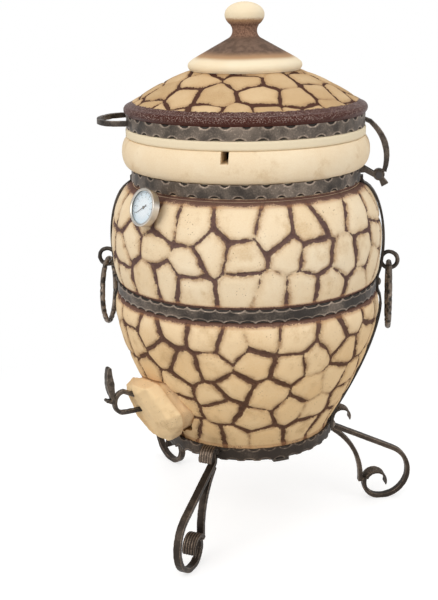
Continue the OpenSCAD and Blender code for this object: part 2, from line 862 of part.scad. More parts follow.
// The lid handle lies level, as one bent bar welded to the lid hoop
module lid_handle() {
    half = handle_w / 2;
    tip = lid_out + handle_out;
    path = concat(
        [[lid_out * cos(asin(half / lid_out)) - 10, half - 4]],
        oval([tip - 52, 0], 48, half, 80, -80, 14),
        [[lid_out * cos(asin(half / lid_out)) - 10, 4 - half]]);
    color([0.22, 0.2, 0.19])
    difference() {
        rotate([0, 0, 180])
            translate([0, 0, lid_band_z + 6])
                linear_extrude(11)
                    strip(path, 9, 9);
        translate([0, 0, lid_band_z - 5]) cylinder(r = lid_out, h = band_w + 10);
    }
}

module lid_cap() {
    color([0.9, 0.8, 0.64])
    rotate_extrude()
        polygon(concat(
            [[0, cap_z - 12], [vent_r - 5, cap_z - 12], [vent_r - 4, cap_z - 11], [vent_r - 4, cap_z],
             [cap_seat_r + 0.6, cap_z], [cap_r - 4, cone_at(cap_r - 4) + 0.8]],
            oval([cap_r - 8, cap_z + 5.5], 8, 9, -50, 50, 6),
            [[cap_r - 10, cap_z + 18]],
            oval([knob_neck_r + 14, knob_z - knob_half - 6.6], 14, 16, 250, 139, 8),
            oval([0, knob_z], knob_r, knob_half * 1.16, -46, -6, 5),
            oval([0, knob_z], knob_r, knob_half, 0, 90, 9)));
}

// ---- Hinge bracket on the neck hoop ----

module hinge_bracket() {
    cheek = [[neck_out - 6, neck_z - 1], [neck_out + 8, neck_z], [hinge_r - 9, hinge_z - 5],
        [hinge_r - 3, hinge_z - pin_r - 4], [hinge_r + pin_r + 4, hinge_z - 5],
        [hinge_r + pin_r + 5, hinge_z + 4], [hinge_r + 1, hinge_z + pin_r + 5], [hinge_r - 10, hinge_z + 6],
        [neck_out + 8, neck_z + band_w / 2 - 2], [neck_out - 6, neck_z + band_w / 2]];
    color([0.22, 0.2, 0.19])
    difference() {
        union() {
            for (side = [-1, 1])
                translate([0, side * (cheek_gap + cheek_t) / 2, 0])
                    radial(90, cheek_t) polygon(cheek);
            translate([neck_out - 6, -cheek_gap / 2 - 1, neck_z - 1])
                cube([11, cheek_gap + 2, band_w / 2 + 1]);
        }
        translate([0, 0, neck_z - 30]) cylinder(r = neck_out, h = 60);
        hinge_axis() cylinder(r = pin_r + fit, h = 60, center = true);
    }
}

module hinge_pin() {
    grip = cheek_gap / 2 + cheek_t;
    color([0.3, 0.29, 0.28])
    hinge_axis() {
        translate([0, 0, -grip - 9]) cylinder(r = pin_r, h = 2 * grip + 9);
        translate([0, 0, grip]) cylinder(r = pin_r * 1.85, h = 5, $fn = 6);
    }
}

module hinge_nut() {
    grip = cheek_gap / 2 + cheek_t;
    color([0.3, 0.29, 0.28])
    hinge_axis()
        translate([0, 0, -grip - 7])
            difference() {
                cylinder(r = pin_r * 1.85, h = 7, $fn = 6);
                translate([0, 0, -1]) cylinder(r = pin_r + fit, h = 9);
            }
}

// ---- Thermometer ----

// The middle of the dial's front, with Z pointing out of the dial
module dial_frame() {
    rotate([0, 0, dial_az])
        translate([0, -dial_face_r, dial_face_z])
            rotate([90 - dial_tilt, 0, -dial_turn])
                children();
}

shell_t = 1.2;
plate_z = -5;
spindle_r = 1;

module thermometer_case() {
    color([0.75, 0.75, 0.74])
    dial_frame()
        difference() {
            translate([0, 0, -dial_d]) cylinder(r = dial_r, h = dial_d - 2);
            translate([0, 0, plate_z - 1]) cylinder(r = dial_r - shell_t, h = 10);
            translate([0, 0, -dial_d - 1]) cylinder(r = stem_r + fit, h = dial_d + 2);
        }
}

module thermometer_bezel() {
    color([0.8, 0.8, 0.79])
    dial_frame()
        rotate_extrude()
            polygon([[dial_r - 4, -2], [dial_r + 0.8, -2], [dial_r + 0.8, -0.6], [dial_r - 0.4, 0.6],
                [dial_r - 2.6, 0.6], [dial_r - 4, -0.6]]);
}

module thermometer_dial() {
    color([0.86, 0.9, 0.94])
    dial_frame()
        translate([0, 0, plate_z - 0.9])
            difference() {
                cylinder(r = dial_r - shell_t - 0.3, h = 0.8);
                translate([0, 0, -1]) cylinder(r = spindle_r + 0.2, h = 3);
            }
}

module thermometer_lens() {
    color([0.85, 0.9, 0.92, 0.4])
    dial_frame() translate([0, 0, -3.6]) cylinder(r = dial_r - shell_t - 0.3, h = 1.6);
}

module thermometer_spindle() {
    color([0.7, 0.6, 0.3])
    dial_frame() translate([0, 0, -dial_d + 1]) cylinder(r = spindle_r, h = dial_d - 5.2);
}

module thermometer_pointer() {
    hub_r = 3;
    color([0.08, 0.08, 0.09])
    dial_frame()
        translate([0, 0, plate_z + 0.1])
            difference() {
                union() {
                    cylinder(r = hub_r, h = 0.8);
                    rotate([0, 0, 215])
                        linear_extrude(0.5)
                            polygon([[-9, -1.6], [dial_r * 0.68, -0.35], [dial_r * 0.68, 0.35], [-9, 1.6]]);
                }
                translate([0, 0, -1]) cylinder(r = spindle_r + fit, h = 3);
            }
}

module thermometer_stem() {
    color([0.72, 0.72, 0.71])
    dial_frame()
        translate([0, 0, -112])
            difference() {
                cylinder(r = stem_r, h = 112 - dial_d + 2);
                translate([0, 0, 112 - dial_d]) cylinder(r = spindle_r + fit, h = 10);
            }
}

module thermometer_well() {
    color([0.6, 0.5, 0.3])
    dial_frame()
        translate([0, 0, -94])
            difference() {
                union() {
                    cylinder(r = well_r, h = 94 - dial_d - 1);
                    translate([0, 0, 94 - dial_d - 7]) cylinder(r = well_r * 1.5, h = 6, $fn = 6);
                }
                translate([0, 0, -1]) cylinder(r = stem_r + fit, h = 96);
            }
}

pot_lower();
pot_upper();
neck_band();
middle_band();
bottom_band();
base_bar_long();
base_bar_cross();
band_bolts();
band_nuts();
strap_right();
strap_left();
strap_rivets();
hinge_bracket();
hinge_pin();
hinge_nut();
eye_right();
eye_left();
ring_right();
ring_left();
leg_front();
leg_right();
leg_rear();
brace_front();
brace_right();
brace_rear();
fire_grate();
lid_shell();
lid_band();
lid_band_bolt();
lid_band_nut();
lid_arm();
lid_handle();
lid_cap();
ash_door();
ash_door_handle();
ash_door_thumb_piece();
thermometer_well();
thermometer_stem();
thermometer_case();
thermometer_bezel();
thermometer_dial();
thermometer_lens();
thermometer_spindle();
thermometer_pointer();
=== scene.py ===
"""Dresses a clay tandoor oven: stone-patterned fire clay, forged hoops and legs."""
import math

import bpy
import numpy as np
from bpy.props import FloatProperty, FloatVectorProperty, PointerProperty
from mathutils import Matrix, Vector


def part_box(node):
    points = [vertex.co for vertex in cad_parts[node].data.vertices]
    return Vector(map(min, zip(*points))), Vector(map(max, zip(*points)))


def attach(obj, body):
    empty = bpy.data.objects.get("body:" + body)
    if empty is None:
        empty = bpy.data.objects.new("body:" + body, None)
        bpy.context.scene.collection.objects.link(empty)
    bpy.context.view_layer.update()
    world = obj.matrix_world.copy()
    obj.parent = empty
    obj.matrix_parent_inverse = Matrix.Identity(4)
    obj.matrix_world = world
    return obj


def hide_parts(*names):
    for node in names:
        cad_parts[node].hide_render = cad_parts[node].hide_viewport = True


bl_info = {
    "name": "Clay tandoor oven",
    "version": (1, 0, 0),
    "blender": (4, 5, 0),
    "location": "View3D > Sidebar > Tandoor",
    "description": "Builds the clay and forged surfaces of a hooped tandoor oven",
    "category": "Object",
}

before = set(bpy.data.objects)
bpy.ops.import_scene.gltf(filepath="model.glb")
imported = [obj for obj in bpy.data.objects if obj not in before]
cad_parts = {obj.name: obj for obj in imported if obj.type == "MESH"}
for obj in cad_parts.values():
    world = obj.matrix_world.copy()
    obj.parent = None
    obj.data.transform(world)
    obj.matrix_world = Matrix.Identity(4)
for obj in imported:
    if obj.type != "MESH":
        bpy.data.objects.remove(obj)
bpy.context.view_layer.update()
MM = 0.001


def low(node):
    """Lowest corner of a solid."""
    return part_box(node)[0]


def high(node):
    """Highest corner of a solid."""
    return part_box(node)[1]


# ---- Heights and radii of the pot, from the solids ----

BASE_Z = low("pot_lower").z
WAIST_Z = high("pot_lower").z
RIM_Z = high("pot_upper").z
BAND_H = high("middle_band").z - low("middle_band").z
NECK_Z = (low("neck_band").z + high("neck_band").z) / 2
WAIST_HALF = BAND_H / 2 + 1 * MM
NECK_LOW = NECK_Z - BAND_H / 2 - 5.5 * MM
CREASE_Z = NECK_Z + BAND_H / 2 + 2.5 * MM
COLLAR_Z = RIM_Z - 29 * MM
FOOT_TOP = BASE_Z + BAND_H + 3 * MM
LOW_BELLY_Z = WAIST_Z - 46 * MM
UP_BELLY_Z = WAIST_Z + 89 * MM
FOOT_R = 173 * MM
LOW_BELLY_R = 276.5 * MM
UP_BELLY_R = 279 * MM
WAIST_R = 264.5 * MM
NECK_R = 228 * MM
CREASE_R = NECK_R + 5 * MM
COLLAR_R = 250.5 * MM
MOUTH_R = 178 * MM
CAVITY_R = UP_BELLY_R - 54 * MM
CAVITY_TOP = NECK_LOW - 1 * MM
FLOOR_Z = BASE_Z + 41 * MM
LEDGE_Z = FLOOR_Z + 117 * MM
GRATE_R = MOUTH_R - 8 * MM
LEDGE_R = GRATE_R - 12 * MM

# ---- The steam notches in the rim ----

NOTCH_TURN = -4
NOTCH_W = 15 * MM
NOTCH_DEPTH = 22 * MM

# ---- The ash door ----

DOOR_AZ = math.radians(-49)
DOOR_TILT = math.radians(26)
DOOR_Z = BASE_Z + 104 * MM
DOOR_SEAT = 22 * MM
PORT_HALF_W, PORT_HALF_H, PORT_CORNER, PORT_DROP = 60 * MM, 40 * MM, 18 * MM, 12 * MM
PAST_WALL = 0.34
STONE = [(52, 67), (86, 8), (79, -12), (60, -36), (22, -62), (-46, -56), (-86, -14), (-68, 46), (-10, 60)]

# ---- The middle of a leg's foot scroll: radius and height ----

SCROLL = (0.2859, 0.0421)
SCROLL_R = 28.5 * MM

# ---- The lid ----

LID_Z = low("lid_shell").z
LID_BAND_Z = low("lid_band").z
LID_BAND_TOP = high("lid_band").z
LID_R = 241.5 * MM
CONE_Z = LID_BAND_TOP + 18 * MM
CONE_R = LID_R - 5 * MM
SEAT_Z = high("lid_shell").z
SEAT_R = 100 * MM
VENT_R = 62 * MM
CAP_TOP = high("lid_cap").z

# ---- The thermometer's dial ----

DIAL_AZ = math.radians(-44)
DIAL_TILT = math.radians(16.5)
WELL_HOLE_R = 8.05 * MM

# ---- The camera, as fitted to the hoops in the picture ----

CAMERA_AZ = math.radians(5)
PITCH, ROLL, YAW = 0.284281, -0.015491, -0.026184
FOCAL_PX, PICTURE_PX, SENSOR = 1108.03, 600, 36


def round_off(t):
    """Share of an ellipse's width at a distance t from its middle."""
    return math.sqrt(max(0.0, 1 - t * t))


def pot_out(z):
    """Outer radius of the pot at a height."""
    if z <= FOOT_TOP:
        return FOOT_R
    if z < LOW_BELLY_Z:
        t = (LOW_BELLY_Z - z) / (LOW_BELLY_Z - FOOT_TOP)
        return FOOT_R + (LOW_BELLY_R - FOOT_R) * (1 - t ** 1.5)
    if z < WAIST_Z - WAIST_HALF:
        t = (z - LOW_BELLY_Z) / (WAIST_Z - WAIST_HALF - LOW_BELLY_Z)
        return WAIST_R + (LOW_BELLY_R - WAIST_R) * round_off(t)
    if z <= WAIST_Z + WAIST_HALF:
        return WAIST_R
    if z < UP_BELLY_Z:
        t = (UP_BELLY_Z - z) / (UP_BELLY_Z - WAIST_Z - WAIST_HALF)
        return WAIST_R + (UP_BELLY_R - WAIST_R) * round_off(t)
    if z < NECK_LOW:
        t = (z - UP_BELLY_Z) / (NECK_LOW - UP_BELLY_Z)
        return NECK_R + (UP_BELLY_R - NECK_R) * round_off(t)
    return NECK_R


def arc(cx, cz, rx, rz, a0, a1, n):
    """Points on an oval from angle a0 to a1, in degrees."""
    turn = [math.radians(a0 + (a1 - a0) * i / n) for i in range(n + 1)]
    return [(cx + rx * math.cos(a), cz + rz * math.sin(a)) for a in turn]


def resampled(path, step):
    """The same path with points no further apart than a step."""
    out = [path[0]]
    for p, q in zip(path, path[1:]):
        n = max(1, math.ceil(math.dist(p, q) / step))
        out += [(p[0] + (q[0] - p[0]) * i / n, p[1] + (q[1] - p[1]) * i / n)
                for i in range(1, n + 1)]
    return out


def outward(azimuth):
    """Level direction at an azimuth: 0 is -Y, growing towards +X."""
    return Vector((math.sin(azimuth), -math.cos(azimuth), 0))


# ---- Working in the viewport ----


def put_down():
    """Leaves edit mode and deselects everything."""
    if bpy.context.object and bpy.context.object.mode != "OBJECT":
        bpy.ops.object.mode_set(mode="OBJECT")
    bpy.ops.object.select_all(action="DESELECT")


def pick_up(piece):
    """Makes one object the selected and active one."""
    put_down()
    piece.select_set(True)
    bpy.context.view_layer.objects.active = piece


def traced(name, path):
    """One vertex, extruded along a path of radius and height."""
    put_down()
    bpy.ops.mesh.primitive_plane_add(size=0.01, location=(0, 0, 0))
    piece = bpy.context.object
    piece.name = name
    bpy.ops.object.mode_set(mode="EDIT")
    bpy.ops.mesh.merge(type="CENTER")
    bpy.ops.transform.translate(value=(path[0][0], 0, path[0][1]))
    for p, q in zip(path, path[1:]):
        bpy.ops.mesh.extrude_vertices_move(
            TRANSFORM_OT_translate={"value": (q[0] - p[0], 0, q[1] - p[1])})
    return piece


def spun(name, path, steps):
    """A path turned about the oven's axis, closed where it comes round."""
    piece = traced(name, path)
    bpy.ops.mesh.select_all(action="SELECT")
    bpy.ops.mesh.spin(steps=steps, angle=math.tau, center=(0, 0, 0), axis=(0, 0, 1))
    bpy.ops.mesh.select_all(action="SELECT")
    bpy.ops.mesh.remove_doubles(threshold=2e-5)
    bpy.ops.mesh.normals_make_consistent(inside=False)
    bpy.ops.object.mode_set(mode="OBJECT")
    return piece


def copy_of(node, name):
    """A merged copy of a solid's mesh, as one object."""
    put_down()
    piece = bpy.data.objects.new(name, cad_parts[node].data.copy())
    bpy.context.scene.collection.objects.link(piece)
    pick_up(piece)
    bpy.ops.object.mode_set(mode="EDIT")
    bpy.ops.mesh.select_all(action="SELECT")
    bpy.ops.mesh.remove_doubles(threshold=1e-5)
    bpy.ops.object.mode_set(mode="OBJECT")
    piece.data.materials.clear()
    return piece


def modified(piece, kind, **settings):
    """Adds a modifier and applies it."""
    pick_up(piece)
    added = piece.modifiers.new("step", kind)
    for key, value in settings.items():
        setattr(added, key, value)
    bpy.ops.object.modifier_apply(modifier=added.name)


def cut(piece, cutter):
    """Takes a closed cutter's shape out of a piece."""
    modified(piece, "BOOLEAN", operation="DIFFERENCE", object=cutter, solver="MANIFOLD")
    bpy.data.objects.remove(cutter)


def points(piece):
    """The piece's vertices as an array."""
    flat = np.empty(len(piece.data.vertices) * 3)
    piece.data.vertices.foreach_get("co", flat)
    return flat.reshape(-1, 3)


def move_points(piece, places):
    """Puts the piece's vertices at new places."""
    piece.data.vertices.foreach_set("co", places.ravel())
    piece.data.update()


def facings(piece):
    """The piece's vertex normals as an array."""
    flat = np.empty(len(piece.data.vertices) * 3)
    piece.data.vertex_normals.foreach_get("vector", flat)
    return flat.reshape(-1, 3)


def note(piece, name, values):
    """Keeps one number for each vertex, for the materials to read."""
    kept = piece.data.attributes.new(name, "FLOAT", "POINT")
    kept.data.foreach_set("value", np.asarray(values, np.float32))


def finished(piece, body, slot, look, *nodes, angle=40):
    """Shades a piece, gives it its material and fixes it to what it moves with."""
    pick_up(piece)
    bpy.ops.object.shade_smooth_by_angle(angle=math.radians(angle))
    piece.data.materials.clear()
    piece.data.materials.append(look)
    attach(piece, body)
    if nodes:
        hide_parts(*nodes)
    return piece


# ---- Shader nodes ----


class Wire:
    """A shader socket that can stand in a sum."""

    def __init__(self, look, socket):
        self.look, self.socket = look, socket

    def _with(self, operation, *others):
        return self.look.node("ShaderNodeMath", {"operation": operation}, dict(enumerate(others)))

    def __add__(self, other):
        return self._with("ADD", self, other)

    def __radd__(self, other):
        return self._with("ADD", other, self)

    def __sub__(self, other):
        return self._with("SUBTRACT", self, other)

    def __rsub__(self, other):
        return self._with("SUBTRACT", other, self)

    def __mul__(self, other):
        return self._with("MULTIPLY", self, other)

    def __rmul__(self, other):
        return self._with("MULTIPLY", other, self)

    def __truediv__(self, other):
        return self._with("DIVIDE", self, other)

    def __pow__(self, other):
        return self._with("POWER", self, other)


class Tree:
    """The shader nodes of a material or a world."""

    def __init__(self, owner):
        owner.use_nodes = True
        self.tree = owner.node_tree
        self.tree.nodes.clear()

    def node(self, kind, settings=None, values=None, output=0):
        made = self.tree.nodes.new(kind)
        for key, value in (settings or {}).items():
            setattr(made, key, value)
        for key, value in (values or {}).items():
            if isinstance(value, Wire):
                self.tree.links.new(value.socket, made.inputs[key])
            else:
                made.inputs[key].default_value = value
        return Wire(self, made.outputs[output]) if len(made.outputs) else None

    def rays(self, *kinds):
        """1 where a ray is of one of these kinds."""
        path = self.tree.nodes.new("ShaderNodeLightPath")
        found = Wire(self, path.outputs[kinds[0]])
        for kind in kinds[1:]:
            found = self.node("ShaderNodeMath", {"operation": "MAXIMUM"},
                              {0: found, 1: Wire(self, path.outputs[kind])})
        return found

    def glow(self, kind, strength):
        """White light of a strength."""
        return self.node(kind, None, {"Color": (1, 1, 1, 1), "Strength": strength})


class Look(Tree):
    """A material built from nodes on the object's own coordinates."""

    def __init__(self, name):
        self.material = bpy.data.materials.new(name)
        super().__init__(self.material)
        self.place = self.node("ShaderNodeTexCoord", output="Object")
        apart = self.tree.nodes.new("ShaderNodeSeparateXYZ")
        self.tree.links.new(self.place.socket, apart.inputs[0])
        self.x, self.y, self.z = (Wire(self, apart.outputs[i]) for i in range(3))

    def noise(self, scale, detail=3.0, roughness=0.55, place=None):
        return self.node("ShaderNodeTexNoise", {"noise_dimensions": "3D"},
                         {"Vector": place or self.place, "Scale": scale,
                          "Detail": detail, "Roughness": roughness})

    def uneven(self, amount, scale, detail=3.0, roughness=0.55):
        """A value that wanders about 0."""
        return (self.noise(scale, detail, roughness) - 0.5) * amount

    def patches(self, start, end, scale, detail=3.0, roughness=0.55):
        """0 and 1 in soft patches, more of 1 the lower the two limits are."""
        return self.rise(self.noise(scale, detail, roughness), start, end)

    def specks(self, size, soft, scale):
        """1 on small dots, one in each cell."""
        cell = self.node("ShaderNodeTexVoronoi", None, {"Vector": self.place, "Scale": scale}, "Distance")
        return 1 - self.rise(cell, size, soft)

    def number(self, name):
        """A value kept on the piece's vertices."""
        return self.node("ShaderNodeAttribute", {"attribute_name": name}, output="Fac")

    def rise(self, value, start, end):
        """Smoothly 0 to 1 as a value goes from start to end."""
        return self.node("ShaderNodeMapRange", {"interpolation_type": "SMOOTHSTEP"},
                         {"Value": value, "From Min": start, "From Max": end})

    def mix(self, share, first, second):
        values = {0: share}
        for index, value in ((6, first), (7, second)):
            values[index] = value if isinstance(value, Wire) else (*value[:3], 1)
        return self.node("ShaderNodeMix", {"data_type": "RGBA"}, values, output=2)

    def bump(self, height, distance, strength=1.0, under=None):
        values = {"Height": height, "Distance": distance, "Strength": strength}
        if under:
            values["Normal"] = under
        return self.node("ShaderNodeBump", None, values)

    def finish(self, **sockets):
        """Closes the material with a Principled shader."""
        values = {k.replace("_", " "): v for k, v in sockets.items()}
        shader = self.node("ShaderNodeBsdfPrincipled", None, values)
        self.node("ShaderNodeOutputMaterial", None, {"Surface": shader})
        return self.material


# ---- Sizes and colours ----


def slider(name, description, value, least, most, unit="LENGTH"):
    """A number in the panel."""
    return FloatProperty(name=name, description=description, default=value, min=least, max=most, unit=unit)


def tint(name, description, value):
    """A colour in the panel."""
    return FloatVectorProperty(name=name, description=description, default=value,
                               subtype="COLOR", min=0, max=1)


class ClayValues(bpy.types.PropertyGroup):
    """Relief and colours of the fire clay."""

    stone: slider("Stone pitch", "Usual distance between the stones' middles", 0.068, 0.06, 0.08)
    joint_width: slider("Joint width", "Width that the joints vary about", 0.007, 0.004, 0.009)
    joint_depth: slider("Joint depth", "Depth of the joints between the stones", 0.0032, 0.001, 0.006)
    grid: slider("Surface grid", "Distance between points of the relief", 0.0033, 0.002, 0.02)
    pale: tint("Pale clay", "Colour of the upper stones", (0.840, 0.665, 0.445))
    warm: tint("Warm clay", "Colour of the lower stones", (0.885, 0.622, 0.336))
    collar: tint("Collar clay", "Colour of the smooth collar", (0.835, 0.715, 0.515))
    joint: tint("Lower joints", "Colour of the joints in the lower shell", (0.110, 0.048, 0.023))
    joint_high: tint("Upper joints", "Colour of the joints in the upper shell", (0.130, 0.074, 0.066))
    smoke: tint("Smoke", "Colour of the smoke shade", (0.125, 0.078, 0.056))
    glaze: tint("Glaze", "Colour of the glazed lid rim", (0.052, 0.0115, 0.0062))


class SteelValues(bpy.types.PropertyGroup):
    """Finish of the forged steel."""

    patina: tint("Patina", "Colour of the dark patina", (0.040, 0.033, 0.028))
    # The rubbed bronze is also the colour of the painted highlights on edges and round the hoops' marks.
    bronze: tint("Rubbed bronze", "Colour of the rubbed high places", (0.375, 0.295, 0.230))
    dent: slider("Dent depth", "Depth of the hammer marks", 0.0011, 0, 0.002)
    bites: slider("Bite spacing", "Distance between the marks along a hoop's edges", 0.042, 0.02, 0.08)


class StageValues(bpy.types.PropertyGroup):
    """Camera, floor and light."""

    distance: slider("Camera distance", "Level distance of the camera from the oven", 2.2468, 1, 6)
    height: slider("Camera height", "Height of the camera above the floor", 1.1329, 0.2, 3)
    ambient: slider("Ambient light", "Strength of the even light from all round", 0.66, 0, 2, "NONE")
    key: slider("Main lamp", "Power of the main lamp", 52.0, 0, 500, "POWER")


def clay():
    """The panel's values for the clay."""
    return bpy.context.scene.tandoor_clay


def steel():
    """The panel's values for the steel."""
    return bpy.context.scene.tandoor_steel


# ---- The stone pattern ----


def thrown(number):
    """A fixed, uneven value between 0 and 1 for a number or an array of them."""
    value = np.sin(np.radians(number * 67.3 + 20)) * 971.3
    return value - np.floor(value)


def stones_between(z0, z1, first):
    """Middles and names of a shell's stones: rows with uneven places."""
    pitch = clay().stone
    rows = max(2, round(1.08 * (z1 - z0) / pitch))
    spots, names = [], []
    for k in range(rows):
        row_z = z0 + (z1 - z0) * (k + 0.5) / rows
        n = round(math.tau * pot_out(row_z) / pitch)
        for i in range(n):
            stone = first + 40 * k + i
            z = row_z + pitch / 2 * (thrown(stone) - 0.5)
            turn = math.tau / n * (i + k % 2 / 2 + 0.6 * (thrown(stone + 0.5) - 0.5))
            spots.append((pot_out(z) * math.sin(turn), -pot_out(z) * math.cos(turn), z))
            names.append(stone)
    return np.array(spots), np.array(names)


def joints(places, middles, names, width):
    """Distance of each place inside its stone's edge, and the stone's own tone."""
    nearest, lot = 8, 20000
    near = np.full((len(places), nearest), 1e9)
    which = np.zeros((len(places), nearest), int)
    for start in range(0, len(places), lot):
        part = places[start:start + lot]
        far = ((part[:, None, :] - middles[None, :, :]) ** 2).sum(2)
        order = np.argsort(far, 1)[:, :nearest]
        which[start:start + lot] = order
        near[start:start + lot] = np.take_along_axis(far, order, 1)
    own = which[:, 0]
    soft = 0.0014
    total = np.zeros(len(places))
    for k in range(1, nearest):
        other = which[:, k]
        across = np.linalg.norm(middles[other] - middles[own], axis=1)
        throw = thrown(names[own] + names[other] + 0.25)
        half = np.where(throw > 0.92, -0.0005, width * (0.28 + 0.5 * throw))
        gap = (near[:, k] - near[:, 0]) / (2 * across) - half
        total += np.exp(-np.clip(gap, -0.02, 0.05) / soft)
    return -soft * np.log(total), thrown(names[own] + 0.75)


def waves(places, size, seed):
    """A smooth, slow, uneven height between -1 and 1."""
    dice = np.random.default_rng(seed)
    total = np.zeros(len(places))
    for k in range(7):
        way = dice.normal(size=3)
        way *= (0.7 + dice.random() * 0.9) * math.tau / size / np.linalg.norm(way)
        total += np.sin(places @ way + dice.random() * math.tau)
    return total / 4.2


def drawn_in(p, r, sink):
    """Moves places towards the axis, in place."""
    p[:, :2] *= (1 - sink / np.maximum(r, 1e-6))[:, None]


def ease(value, start, end):
    """Smoothly 0 to 1 as a value goes from start to end."""
    t = np.clip((value - start) / (end - start), 0, 1)
    return t * t * (3 - 2 * t)


# ---- Materials ----


def clay_look(name, pale, warm):
    """Fire clay with stones, joints, sandy grain and brown spray beside the hoops."""
    look = Look(name)
    v = clay()
    joint, tone, paint = (look.number(n) for n in ("joint", "tone", "paint"))
    ragged = look.uneven(0.0125, 26, 2) + look.uneven(0.0040, 110, 2)
    ragged = ragged + look.uneven(0.0075, 330, 4, 0.75)
    inside = joint + ragged
    stone = look.rise(inside, -0.0006, 0.0006)
    height = look.rise(look.z, 0.36, 0.60)
    base = look.mix(height, warm, pale)
    deep = look.mix(height, [c * k for c, k in zip(warm, (0.90, 0.82, 0.70))],
                    [c * k for c, k in zip(pale, (0.95, 0.90, 0.82))])
    base = look.mix(tone * 0.9, base, deep)
    cloud = look.patches(0.42, 0.70, 11, 4)
    base = look.mix(cloud * 0.4, base, look.mix(height, (0.92, 0.69, 0.41), (0.93, 0.80, 0.60)))
    smudge = look.patches(0.52, 0.70, 17, 5, 0.65)
    base = look.mix(smudge * 0.6, base, look.mix(height, (0.56, 0.335, 0.14), (0.62, 0.41, 0.20)))
    # Darker and browner towards each stone's edge: partly the clay's brown toning, partly painted shade
    # where the pillowed stone curves down into the joint.
    base = look.mix((1 - look.rise(inside, 0.0, 0.015)) * 0.42, base, (0.53, 0.325, 0.15))
    rim = 1 - look.rise(inside, 0.0002, 0.0075)
    base = look.mix(rim * look.patches(0.36, 0.58, 42, 3) * 0.9, base, (0.34, 0.175, 0.075))
    grain = look.patches(0.32, 0.70, 420, 4, 0.7)
    base = look.mix(0.24 * grain, base, look.mix(height, (0.95, 0.76, 0.49), (0.98, 0.88, 0.68)))
    dots = look.specks(0.12, 0.26, 210) * look.patches(0.46, 0.62, 26, 3)
    dots = dots * look.patches(0.45, 0.6, 90, 2) * look.rise(0.730 - look.z, 0.0, 0.004)
    base = look.mix(dots * 0.8, base, (0.25, 0.135, 0.065))
    soil = look.mix(height, v.joint, v.joint_high)
    soil = look.mix(look.patches(0.35, 0.75, 190, 4, 0.7) * 0.5, soil, (0.25, 0.135, 0.080))
    soil = look.mix((1 - look.rise(inside, -0.006, -0.001)) * 0.45, soil, (0.045, 0.020, 0.013))
    colour = look.mix(stone, soil, base)
    sprayed = look.rise(paint + look.uneven(1.3, 460, 3, 0.75) + look.uneven(0.9, 38, 2),
                        0.42, 0.68)
    tinted = look.rise(paint, 0.01, 0.45) * 0.5
    colour = look.mix(tinted, colour, (0.47, 0.225, 0.10))
    colour = look.mix(sprayed, colour, look.mix(look.noise(300, 3), soil, (0.17, 0.082, 0.055)))
    relief = look.bump(stone, 0.0016, 0.8)
    relief = look.bump(look.noise(330, 5, 0.65), 0.0009, 0.5, relief)
    relief = look.bump(look.noise(60, 3), 0.002, 0.3, relief)
    return look.finish(Base_Color=colour, Roughness=0.92 - 0.08 * stone, Normal=relief,
                       Specular_IOR_Level=0.3)


def lid_look():
    """Lid clay with joints and a glossy glazed rim, with painted glints on the rim's upper face."""
    look = Look("lid clay")
    v = clay()
    joint, tone, paint = (look.number(n) for n in ("joint", "tone", "paint"))
    ragged = look.uneven(0.0120, 28, 2) + look.uneven(0.0060, 260, 4, 0.7)
    inside = joint + ragged
    stone = look.rise(inside, -0.0006, 0.0006)
    base = look.mix(tone, (0.60, 0.405, 0.215), (0.46, 0.290, 0.135))
    base = look.mix(look.patches(0.4, 0.7, 12, 3) * 0.4, base, (0.72, 0.545, 0.33))
    # Darker and browner towards each stone's edge: partly the clay's brown toning, partly painted shade
    # where the pillowed stone curves down into the joint.
    base = look.mix((1 - look.rise(inside, 0.0, 0.013)) * 0.35, base, (0.44, 0.26, 0.115))
    rim = 1 - look.rise(inside, 0.0002, 0.0055)
    base = look.mix(rim * look.noise(60, 3) * 0.8, base, (0.30, 0.155, 0.07))
    base = look.mix(0.22 * look.patches(0.3, 0.72, 420, 4, 0.7), base, (0.80, 0.63, 0.41))
    dots = look.specks(0.08, 0.16, 150) * look.patches(0.52, 0.64, 30, 3)
    base = look.mix(dots * 0.7, base, (0.25, 0.135, 0.065))
    soil = look.mix(look.noise(150, 3), (0.055, 0.022, 0.014), (0.105, 0.045, 0.028))
    colour = look.mix(stone, soil, base)
    frayed = look.uneven(0.75, 95, 4, 0.65) + look.uneven(0.45, 400, 3, 0.7)
    glazed = look.rise(paint + frayed, 0.43, 0.50)
    glaze = look.mix(look.patches(0.45, 0.75, 360, 4, 0.7), v.glaze, (0.085, 0.021, 0.011))
    # Painted glints: bright specks on the glaze, painted only on the rim's upper face where the lamps catch
    # it.
    lit_rim_top = look.rise(look.z, LID_BAND_TOP + 0.003, LID_BAND_TOP + 0.009)
    painted_glints = look.patches(0.57, 0.62, 560, 2) * lit_rim_top
    glaze = look.mix(painted_glints * 0.75, glaze, (0.46, 0.33, 0.28))
    plain = look.number("plain")
    smooth = look.mix(look.noise(300, 3) * 0.3, v.collar, (0.78, 0.62, 0.40))
    colour = look.mix(plain, look.mix(glazed, colour, glaze), smooth)
    gloss = glazed * (1 - plain)
    relief = look.bump(stone * (1 - gloss), 0.0015, 0.7)
    relief = look.bump(look.noise(300, 4, 0.6), 0.0011, 0.7, relief)
    return look.finish(Base_Color=colour, Roughness=0.88 - 0.46 * gloss, Specular_IOR_Level=0.16,
                       Coat_Weight=gloss * 0.06, Normal=relief)


